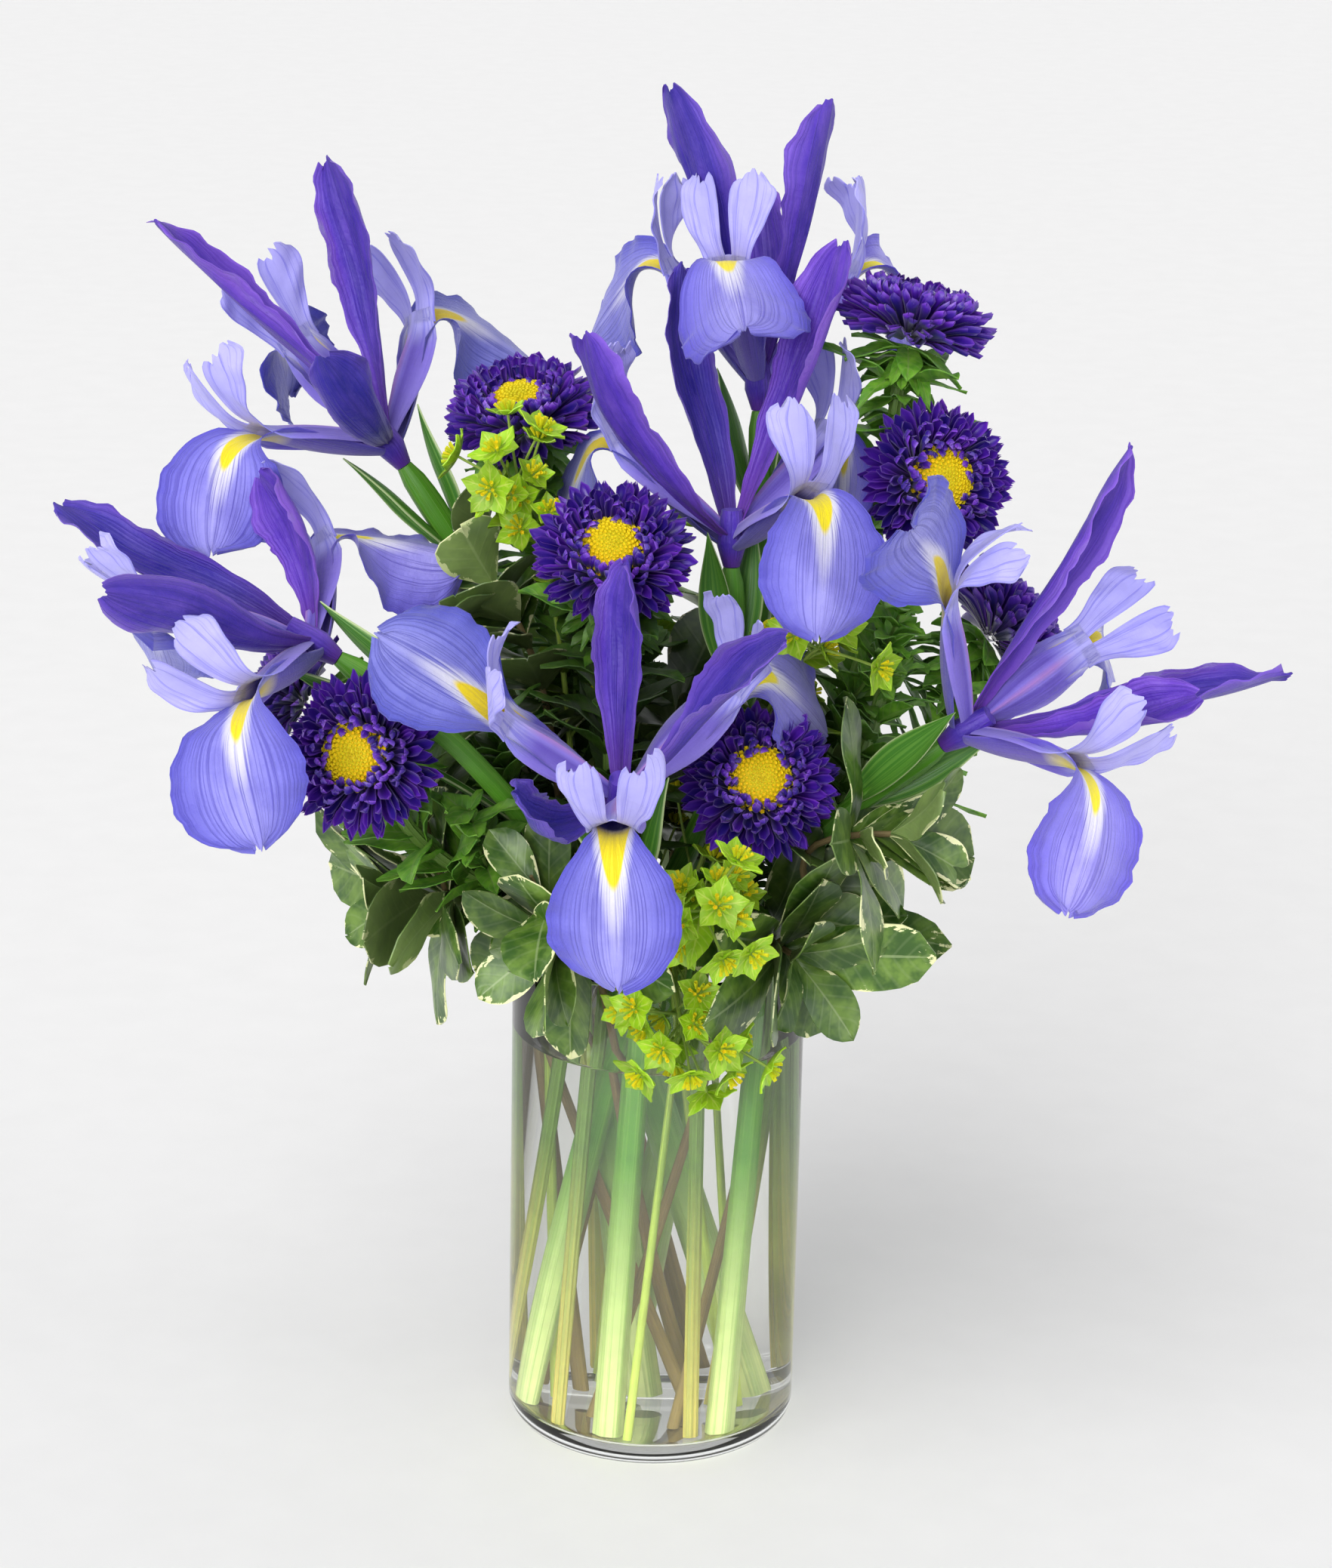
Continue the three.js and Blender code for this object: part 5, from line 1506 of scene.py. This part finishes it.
class BOUQUET_OT_iris_stems(bpy.types.Operator):
    """Iris stems with their ovaries, spathes and strap leaves"""

    bl_idname = "bouquet.iris_stems"
    bl_label = "Iris stems"

    def execute(self, context):
        settings = context.scene.bouquet_iris
        materials = [
            stem_material("iris_stem", settings.stem_colour, settings.stem_foot, settings.stem_rib, 18, 0.45),
            blade_material(settings),
        ]
        stalk = cut_stalk(36, 60)
        spathe = cut_blade(10, 22, lambda u: swell(u, 0.25, 0.45, 0.02, 1, 1.2) * rounded_tip(u, 0.97))
        strap = cut_blade(8, 26, lambda u: swell(u, 0.55, 0.45, 0.04, 1, 0.8) * rounded_tip(u, 0.97))
        # The turns and openings that a packed spathe may have
        ways = [(0, 10), (0, 4), (0, 16), (30, 8), (-30, 8), (60, 8), (-60, 8)]
        for name, iris in IRISES.items():
            places = node_points(f"{name}_stem")
            path = iris_stem_path(iris)

            def radius(u, turn):
                from_top = (1 - u) * path.length
                ovary = np.sin(np.pi * np.clip(from_top / OVARY_LENGTH, 0, 1))
                body = IRIS_FOOT_RADIUS + (IRIS_NECK_RADIUS - IRIS_FOOT_RADIUS) * u
                ridges = 1 + 0.03 * np.cos(6 * turn) + 0.05 * ovary * np.cos(3 * turn)
                return np.where(from_top < 1, 2.6, body + (OVARY_RADIUS - IRIS_NECK_RADIUS) * ovary) * ridges

            growth = Growth(f"{name}_stalk", materials)
            growth.add_stalk(stalk, path, radius, level=True)
            for turn in (0, 180):
                heading = iris["spathe"] + turn
                blades = (iris_spathe(iris, heading + swing, opening) for swing, opening in ways)
                for blade_path, side in first_standing(places, blades, SPATHE_HALF_WIDTH * 0.08):
                    growth.add_blade(
                        spathe, blade_path, side, SPATHE_HALF_WIDTH, 0.5,
                        lambda u, v, w: 0.5 * np.abs(w) * np.abs(v), tone=0.8,
                    )
            blades = (strap_leaf(iris, swing) for swing in (0, 15, -15, 30, -30) if "strap" in iris)
            for blade_path, side in first_standing(places, blades, STRAP_HALF_WIDTH * 0.12):
                growth.add_blade(
                    strap, blade_path, side, STRAP_HALF_WIDTH, 0.6,
                    lambda u, v, w: 0.3 * np.abs(w) * np.abs(v), tone=0.3,
                )
            growth.finish(f"{name}_stem", "iris_green")
        return {"FINISHED"}


def aster_frame(aster):
    """An aster head's seat, the way it faces, and two directions square to that."""
    axis = polar(*aster["facing"])
    seat = np.array(aster["centre"], dtype=float) - axis * HEAD_DEPTH
    across = square_to(axis)
    return seat, axis, across, crossed(axis, across)


def floret_layer(growth, floret, head, rng, layer, count, half, root, bend_place, tip):
    """Adds one layer of a head's ray florets, each scaled, raised, skewed and rolled by itself."""
    seat, axis, across, deep = head
    u, v = floret.share[:, 1], floret.share[:, 0] * 2 - 1
    # Each goes round the head with its neighbours, but for a shake
    turn = 2 * np.pi * (np.arange(count) + 0.5 * (layer % 2) + rng.uniform(-0.45, 0.45, count)) / count
    out = np.cos(turn)[:, None] * across + np.sin(turn)[:, None] * deep
    side = np.cross(axis, out)
    scale = rng.uniform(0.84, 1.02, count)[:, None]
    rise = rng.uniform(-1.4, 1.2, count)[:, None]
    corners = [
        seat + out * radius * (scale if i else 1) + axis * (height + i * 0.5 * rise)
        for i, (radius, height) in enumerate((root, bend_place, tip))
    ]
    skew = side * rng.uniform(-2.6, 2.6, count)[:, None]
    a, b, c = corners[0], corners[1] + skew * 0.4, corners[2] + skew
    # Its middle line is a curve from its root, past its bend, to its tip
    t = u[None, :, None]
    centre = (1 - t) ** 2 * a[:, None] + 2 * t * (1 - t) * b[:, None] + t ** 2 * c[:, None]
    onward = unit(2 * (1 - t) * (b - a)[:, None] + 2 * t * (c - b)[:, None])
    up = unit(np.cross(onward, side[:, None]))
    roll = rng.uniform(-0.7, 0.7, count)[:, None, None]
    sideways = unit(np.cross(up, onward)) + up * roll
    width = floret.points[:, 0] * half
    cup = 0.85 * half * v ** 2 * np.clip(u * 1.6, 0.2, 1) + 0.9 * np.clip(u - 0.72, 0, 1) ** 2 * 14
    height = floret.points[:, 2] * 0.3 + cup
    points = centre + sideways * width[None, :, None] + up * height[None, :, None]
    flat = np.stack([width, u * 14], axis=-1) / 100
    growth.add(floret, points, flat, tone=rng.uniform(0, 1, count))


def bud_points(bud, base, aim, side, size, tall):
    """The points of a bud that stands on its base, aimed so, this wide and this tall."""
    x, y, z = bud.points[:, :1], bud.points[:, 1:2], bud.points[:, 2:]
    return base + x * size * side + y * size * crossed(aim, side) + z * tall * aim


class BOUQUET_OT_aster_heads(bpy.types.Operator):
    """Aster heads: eight layers of spoon-shaped ray florets about a golden disc"""

    bl_idname = "bouquet.aster_heads"
    bl_label = "Aster heads"

    def execute(self, context):
        settings = context.scene.bouquet_aster
        ray = [floret_material(settings)]
        golden = settings.disc_ripe, settings.disc_unripe, settings.disc_mouth
        bud = [bud_material("aster_disc_floret", *golden)]
        floret = cut_blade(4, 5, lambda u: (0.4 + 0.6 * min(u / 0.62, 1) ** 1.4) * rounded_tip(u, 0.72))
        mouth = cut_bud()
        dome = cut_stalk(24, 8)
        for number, (name, aster) in enumerate(ASTERS.items()):
            rng = np.random.default_rng(HEAD_SEED + number)
            head = seat, axis, across, deep = aster_frame(aster)
            growth = Growth(f"{name}_rays", ray)
            for layer, sizes in enumerate(FLORET_LAYERS):
                floret_layer(growth, floret, head, rng, layer, *sizes)
            growth.finish(f"{name}_florets", "aster_floret")
            growth = Growth(f"{name}_disc_buds", bud)
            for i in range(settings.buds):
                share = math.sqrt((i + 0.5) / settings.buds)
                turn = i * math.radians(GOLDEN_TURN)
                out = math.cos(turn) * across + math.sin(turn) * deep
                height = DISC_HEIGHT + DISC_DOME * math.sqrt(max(1 - share ** 2.6, 0))
                aim = unit(axis + out * share ** 2 * 0.8)
                size = 0.50 + 0.34 * share ** 1.5 + rng.uniform(-0.04, 0.04)
                tall = 2.0 + 1.3 * share ** 3 + rng.uniform(-0.15, 0.25)
                base = seat + out * (DISC_RADIUS * share) + axis * (height - 1.7)
                points = bud_points(mouth, base, aim, square_to(aim), size, tall)
                ripe = np.clip(share * 1.6 - 0.3 + rng.uniform(-0.15, 0.15), 0, 1)
                growth.add(mouth, points, mouth.share * 0.01, tone=ripe)
            # A dome closes the disc just below its florets' mouths
            bottom, top = seat + axis * DISC_HEIGHT, seat + axis * (DISC_HEIGHT + 3.9)
            growth.add_stalk(
                dome, SoftPath(bottom, (bottom + top) / 2, top),
                lambda u, turn: (DISC_RADIUS - 0.4) * np.sqrt(np.clip(1 - u ** 2.2, 0.0004, 1)), tone=0.6,
            )
            growth.finish(f"{name}_disc", "aster_disc")
        return {"FINISHED"}


class BOUQUET_OT_aster_stems(bpy.types.Operator):
    """Ribbed aster stems with their collars of bracts and leaves"""

    bl_idname = "bouquet.aster_stems"
    bl_label = "Aster stems"

    def execute(self, context):
        settings = context.scene.bouquet_aster
        materials = [
            stem_material("aster_stem", settings.stem_colour, settings.stem_foot, settings.leaf_vein, 9),
            plain_leaf_material("aster_leaf", settings.leaf_colour, settings.leaf_vein, settings.leaf_light),
        ]
        stalk = cut_stalk(36, 50)
        bract = cut_blade(4, 9, lambda u: swell(u, 0.35, 0.6, 0.1, 1, 1) * rounded_tip(u, 0.8))
        leaf = cut_blade(6, 18, lambda u: swell(u, 0.25, 0.5, 0.05, 1, 1) * (1 + 0.06 * math.sin(70 * u)))
        leaflet = cut_blade(4, 6, lambda u: swell(u, 0.5, 0.35, 0.3, 1, 0.8) * rounded_tip(u, 0.8))
        shoot = cut_stalk(7, 8)
        solids = Clearance(context)
        for number, (name, aster) in enumerate(ASTERS.items()):
            rng = np.random.default_rng(ASTER_STEM_SEED + number)
            own = f"{name}_stem"
            places = node_points(own)
            seat, axis, _, _ = aster_frame(aster)
            hub = seat - axis * (GAP + HUB_THICKNESS / 2)
            path = stem_path(aster, seat - axis * 26 - UP * 30, seat - axis * 14, hub)
            growth = Growth(f"{name}_stalk", materials)
            growth.add_stalk(
                stalk, path, lambda u, turn: ASTER_STEM_RADIUS * (1 + 0.08 * np.cos(9 * turn)), level=True,
            )
            collar = rosette(
                places, hub, axis, BRACTS, 20, HEAD_BRACT_HALF_WIDTH * 0.25,
                lambda out, i, share: (unit(out - axis * 0.3), 24 * share, 0.3),
            )
            for blade_path, side in collar:
                lift = leaf_lift(0.25, 0.5, rng.uniform(0, 6))
                tone = rng.uniform(0.3, 1)
                growth.add_blade(bract, blade_path, side, HEAD_BRACT_HALF_WIDTH, 0.5, lift, tone=tone)
            for joint, distance in enumerate(aster["joints"]):
                u = 1 - distance / path.length
                onward = path.tangent(u)
                leaves = rosette(
                    places, on_stem(path, u), onward, 3, 55 * joint, ASTER_LEAF_HALF_WIDTH * 0.15,
                    lambda out, i, share: (unit(out + onward * 0.6), 36 * share, 0.5),
                )
                for blade_path, side in leaves:
                    lift = leaf_lift(0.3, 1.0, rng.uniform(0, 6))
                    tone = rng.uniform(0, 1)
                    growth.add_blade(leaf, blade_path, side, ASTER_LEAF_HALF_WIDTH, 0.45, lift, tone=tone)
            # Narrow bracts hang thickly below the head, and small leaves dress the stem
            small = clothe(
                solids, own, path, rng, (2.5, 5, 8, 12, 17, 23), COLLAR, 8, (16, 29), (2.0, 4.4),
                (-0.7, 0.3), (0.3, 0.9), anywhere=True,
            )
            small += clothe(
                solids, own, path, rng, np.arange(12, 200, 6.5), COLLAR, 3, (22, 38), (3.5, 6.5),
                (0.2, 1.1), (0.1, 0.8),
            )
            for distance in np.arange(20, 150, 9):
                twig = side_twig(solids, own, path, rng, distance, rng.uniform(34, 70), COLLAR)
                if twig:
                    growth.add_stalk(shoot, twig, lambda u, turn: 0.8 - 0.3 * u)
                    small += clothe(
                        solids, own, twig, rng, np.arange(0.5, 60, 5), COLLAR, 4, (13, 25), (2.8, 5),
                        (0.2, 1.2), (0.1, 0.8),
                    )
            for blade in small:
                lift = leaf_lift(rng.uniform(0, 0.35), rng.uniform(0.3, 1.2), rng.uniform(0, 6))
                growth.add_blade(leaflet, *blade, 0.4, lift, tone=rng.uniform(0, 1))
            growth.finish(own, "aster_green")
        return {"FINISHED"}


class BOUQUET_OT_pittosporum(bpy.types.Operator):
    """Pittosporum twigs with whorls of variegated leaves"""

    bl_idname = "bouquet.pittosporum"
    bl_label = "Pittosporum"

    def execute(self, context):
        settings = context.scene.bouquet_foliage
        thickness = settings.leaf_thickness / MM
        bark = settings.bark_colour, settings.bark_foot, settings.bark_rib
        materials = [stem_material("pittosporum_bark", *bark, 7, 0.75), variegated_material(settings)]
        stalk = cut_stalk(14, 50)
        shoot = cut_stalk(10, 12)
        leaf, leaflet = (
            cut_blade(*cuts, lambda u: swell(u, 0.1, 0.62, 0.45, 1.1, 0.7) * rounded_tip(u, 0.8))
            for cuts in ((10, 16), (6, 9))
        )
        solids = Clearance(context)
        for number, (name, spray) in enumerate(PITTOSPORUM.items()):
            rng = np.random.default_rng(PITTOSPORUM_SEED + number)
            places = node_points(name)
            end = np.array(spray["end"], dtype=float)
            path = stem_path(spray, end - polar(*spray["points"]) * 34 + UP * 6, end)
            growth = Growth(f"{name}_leaves", materials)
            growth.add_stalk(stalk, path, lambda u, turn: WOODY_RADIUS * (1 - 0.45 * u), level=True)
            grown = []
            for whorl, count in ((0, 5), (1, 4)):
                u = 1 - (15 - 14 * whorl) / path.length
                onward = path.tangent(u)
                half = WHORL_LEAF_HALF_WIDTH - 2.5 * whorl

                def leaf_at(out, i, share):
                    length = (50 - 12 * whorl - 3 * (i % 2)) * share
                    return unit(out + onward * (0.25 + 0.75 * whorl)), length, 0.35

                leaves = rosette(places, on_stem(path, u), onward, count, 40 * whorl, half * 0.45, leaf_at)
                grown += [(*blade, half) for blade in leaves]
            # Those high in the bunch are broader
            broad = 1.35 if spray["end"][2] > 250 else 1
            small = clothe(
                solids, name, path, rng, np.arange(6, 130, 5), COLLAR - 6, 5, (36, 60),
                (10 * broad, 15 * broad), (0.2, 1.1), (0.0, 0.35),
            )
            for distance in (12, 24, 38):
                twig = side_twig(solids, name, path, rng, distance, rng.uniform(40, 62), COLLAR)
                if twig:
                    growth.add_stalk(shoot, twig, lambda u, turn: 1.0 - 0.4 * u)
                    small += clothe(
                        solids, name, twig, rng, np.arange(1, 60, 8), COLLAR, 4, (34, 54), (9, 13),
                        (0.2, 1.2), (0.0, 0.35),
                    )
            for pattern, blades in ((leaf, grown), (leaflet, small)):
                for blade in blades:
                    phase = rng.uniform(0, 6)
                    lift = leaf_lift(rng.uniform(-0.05, 0.35), rng.uniform(0.4, 1.4), phase)
                    growth.add_blade(pattern, *blade, thickness, lift, tone=rng.uniform(0, 1))
            growth.finish(name, "pittosporum_leaf")
        return {"FINISHED"}


def bract_star(root, tip, aim, size):
    """The blades of a star: its ray, then five pointed bracts."""
    first = square_to(aim)
    blades = [(SoftPath(root, (root + tip) / 2 + first * 0.8, tip), first, 0.5)]
    for k in range(BRACTS):
        out = swung(first, aim, 360 / BRACTS * k)
        path = SoftPath(tip - aim * 0.4, tip + out * size * 0.55 - aim * 0.2, tip + out * size + aim * 2.4)
        blades.append((path, crossed(aim, out), size * 0.41))
    return blades


def grow_star(growth, ray, bract, flower, star, tip, aim, rng):
    """A ray with its cup of five pointed bracts and a tuft of tiny flowers."""
    growth.add_stalk(ray, star[0][0], lambda u, turn: 0.5)
    for blade in star[1:]:
        lift = leaf_lift(0.15, 0.3, rng.uniform(0, 6))
        growth.add_blade(bract, *blade, 0.4, lift, tone=rng.uniform(0, 1))
    for k in range(FLOWERS):
        reach = TUFT_RADIUS * math.sqrt((k + 0.5) / FLOWERS)
        out = swung(square_to(aim), aim, GOLDEN_TURN * k)
        lean = unit(aim * 4.5 + out * reach)
        size = rng.uniform(0.55, 0.8)
        base = tip + out * reach * 0.4 + lean * rng.uniform(0.5, 1.2)
        points = bud_points(flower, base, lean, square_to(lean), size, FLOWER_HEIGHT)
        growth.add(flower, points, flower.share * 0.01, 2, tone=rng.uniform(0, 1))


class BOUQUET_OT_bupleurum(bpy.types.Operator):
    """Bupleurum sprays: rays that end in cups of pointed bracts about tiny flowers"""

    bl_idname = "bouquet.bupleurum"
    bl_label = "Bupleurum"

    def execute(self, context):
        settings = context.scene.bouquet_foliage
        vein = settings.bract_vein
        ripe = settings.flower_ripe
        materials = [
            stem_material("bupleurum_stem", settings.spray_stem, vein, vein, 5),
            plain_leaf_material("bupleurum_bract", settings.bract_colour, vein, settings.bract_light, 0.45),
            bud_material("bupleurum_flower", ripe, settings.flower_unripe, ripe),
        ]
        stalk = cut_stalk(12, 50)
        ray = cut_stalk(6, 6)
        bract = cut_blade(4, 6, lambda u: swell(u, 0.35, 0.42, 0.03, 1, 1.2))
        flower = cut_bud()
        solids = Clearance(context)
        for number, (name, spray) in enumerate(BUPLEURUM.items()):
            rng = np.random.default_rng(BUPLEURUM_SEED + number)
            places = node_points(name)
            end = np.array(spray["end"], dtype=float)
            onward = polar(*spray["points"])
            path = stem_path(spray, end - onward * 34 + UP * 6, end)
            growth = Growth(f"{name}_bracts", materials)
            growth.add_stalk(stalk, path, lambda u, turn: BUPLEURUM_RADIUS * (1 - 0.45 * u), level=True)
            around = crossed(onward, UP)
            rays = [[(onward, length) for length in (15, 11)]]
            for i in range(RAYS):
                rays.append([
                    (unit(swung(around, onward, 360 * i / RAYS + turn) + onward * 0.8), 21 + 3 * (i % 2))
                    for turn in (0, 15, -15, 30, -30)
                ])
            for ways in rays:
                for aim, length in ways:
                    tip = end + aim * length
                    corners = [
                        tip + swung(square_to(aim), aim, 360 / BRACTS * k) * BRACT + aim * 2.4
                        for k in (0, 1, 2)
                    ]
                    if stands_there(places, *corners):
                        star = bract_star(end - onward, tip, aim, BRACT)
                        solids.admit(name, star)
                        grow_star(growth, ray, bract, flower, star, tip, aim, rng)
                        break
            # Shorter rays fill the umbel, and others leave the stem below it
            shoots = [(end - onward * rng.uniform(0, 10), onward, rng.uniform(8, 34)) for _ in range(90)]
            for distance in np.arange(14, 150, 3):
                u = 1 - distance / path.length
                shoots.append((path.point(u), path.tangent(u), rng.uniform(16, 34)))
            for root, ahead, length in shoots:
                out = swung(square_to(ahead), ahead, rng.uniform(0, 360))
                aim = unit(out * rng.uniform(0.3, 1.0) + ahead * rng.uniform(0.3, 1.0) + UP * 0.2)
                size = rng.uniform(6.0, 9.0)
                for share in (1, 0.7):
                    tip = root + aim * length * share
                    star = bract_star(root, tip, aim, size)
                    if root[2] > COLLAR - 40 and solids.admit(name, star):
                        grow_star(growth, ray, bract, flower, star, tip, aim, rng)
                        break
            leaves = clothe(
                solids, name, path, rng, np.arange(10, 140, 8), COLLAR, 2, (20, 34), (5, 9), (0.3, 1.0),
                (0.1, 0.6),
            )
            for blade in leaves:
                lift = leaf_lift(0.2, 0.6, rng.uniform(0, 6))
                growth.add_blade(bract, *blade, 0.4, lift, tone=rng.uniform(0, 0.5))
            growth.finish(name, "bupleurum_bract")
        return {"FINISHED"}


class BOUQUET_OT_stage(bpy.types.Operator):
    """A pale floor, soft studio light and the camera"""

    bl_idname = "bouquet.stage"
    bl_label = "Stage"

    def execute(self, context):
        settings = context.scene.bouquet_stage
        scene = context.scene
        begin_shape()
        bpy.ops.mesh.primitive_grid_add(x_subdivisions=8, y_subdivisions=8, size=12, location=(0, 0, 0))
        floor = context.object
        floor.name = floor.data.name = "studio_floor"
        floor.data.materials.append(floor_material(settings))
        world = bpy.data.worlds.new("studio_room")
        world.use_nodes = True
        # White walls all round: brightest about the horizon, dimmer overhead
        tree = world.node_tree
        room = tree.nodes["Background"]
        height = add_node(tree, "SeparateXYZ", {0: add_node(tree, "TexCoord").outputs["Generated"]})
        glow = add_node(tree, "MapRange", {
            0: height.outputs[2], 1: 0.0, 2: 0.45, 3: 1.15 * settings.light, 4: 0.52 * settings.light,
        }, interpolation_type="SMOOTHSTEP")
        set_inputs(tree, room, {"Color": from_hex("#f8f9fb"), "Strength": glow})
        scene.world = world
        for name, place, angle, power in (
            ("key_softlight", (-0.6, -1.0, 1.6), 0.85, 1.5),
            ("front_softlight", (-0.5, -1.6, 0.7), 0.5, 1.2),
            ("right_softlight", (1.5, -0.6, 0.7), 0.6, 0.5),
        ):
            light = bpy.data.lights.new(name, "SUN")
            light.angle = angle
            light.energy = power * settings.light
            lamp = bpy.data.objects.new(name, light)
            lamp.location = place
            aim = Vector(BUNCH_MIDDLE) - Vector(place)
            lamp.rotation_euler = aim.to_track_quat("-Z", "Y").to_euler()
            context.collection.objects.link(lamp)
        camera = bpy.data.cameras.new("camera")
        camera.lens = CAMERA_LENS
        camera.sensor_width = 36
        camera.sensor_fit = "AUTO"
        camera.clip_end = 50
        eye = bpy.data.objects.new("camera", camera)
        down, roll = math.radians(CAMERA_DOWN), math.radians(CAMERA_ROLL)
        ahead = Vector((0, math.cos(down), -math.sin(down)))
        level, raised = Vector((1, 0, 0)), Vector((0, math.sin(down), math.cos(down)))
        right = level * math.cos(roll) + raised * math.sin(roll)
        over = raised * math.cos(roll) - level * math.sin(roll)
        turned = Matrix((right, over, -ahead)).transposed().to_4x4()
        eye.matrix_world = Matrix.Translation(Vector(CAMERA_PLACE) * MM) @ turned
        context.collection.objects.link(eye)
        scene.camera = eye
        scene.view_settings.view_transform = "Standard"
        return {"FINISHED"}


STEPS = (
    BOUQUET_OT_stage, BOUQUET_OT_vase, BOUQUET_OT_water, BOUQUET_OT_iris_stems, BOUQUET_OT_iris_blooms,
    BOUQUET_OT_aster_stems, BOUQUET_OT_aster_heads, BOUQUET_OT_pittosporum, BOUQUET_OT_bupleurum,
)
GROUPS = {
    "bouquet_vase": VaseSettings, "bouquet_iris": IrisSettings, "bouquet_aster": AsterSettings,
    "bouquet_foliage": FoliageSettings, "bouquet_stage": StageSettings,
}


class BOUQUET_PT_panel(bpy.types.Panel):
    """Lists the bouquet's pieces and their sizes and colours"""

    bl_idname = "BOUQUET_PT_panel"
    bl_label = "Iris Bouquet"
    bl_space_type = "VIEW_3D"
    bl_region_type = "UI"
    bl_category = "Bouquet"

    def draw(self, context):
        for step in STEPS:
            self.layout.operator(step.bl_idname)
        for group in GROUPS:
            box = self.layout.box()
            settings = getattr(context.scene, group)
            for key in settings.__annotations__:
                box.prop(settings, key)


def register():
    for made in (*GROUPS.values(), *STEPS, BOUQUET_PT_panel):
        bpy.utils.register_class(made)
    for name, group in GROUPS.items():
        setattr(bpy.types.Scene, name, bpy.props.PointerProperty(type=group))


def unregister():
    for name in GROUPS:
        delattr(bpy.types.Scene, name)
    for made in (BOUQUET_PT_panel, *reversed(STEPS), *GROUPS.values()):
        bpy.utils.unregister_class(made)


def main():
    register()
    for step in STEPS:
        group, operation = step.bl_idname.split(".")
        getattr(getattr(bpy.ops, group), operation)()
    bpy.context.view_layer.update()


if __name__ == "__main__":
    main()
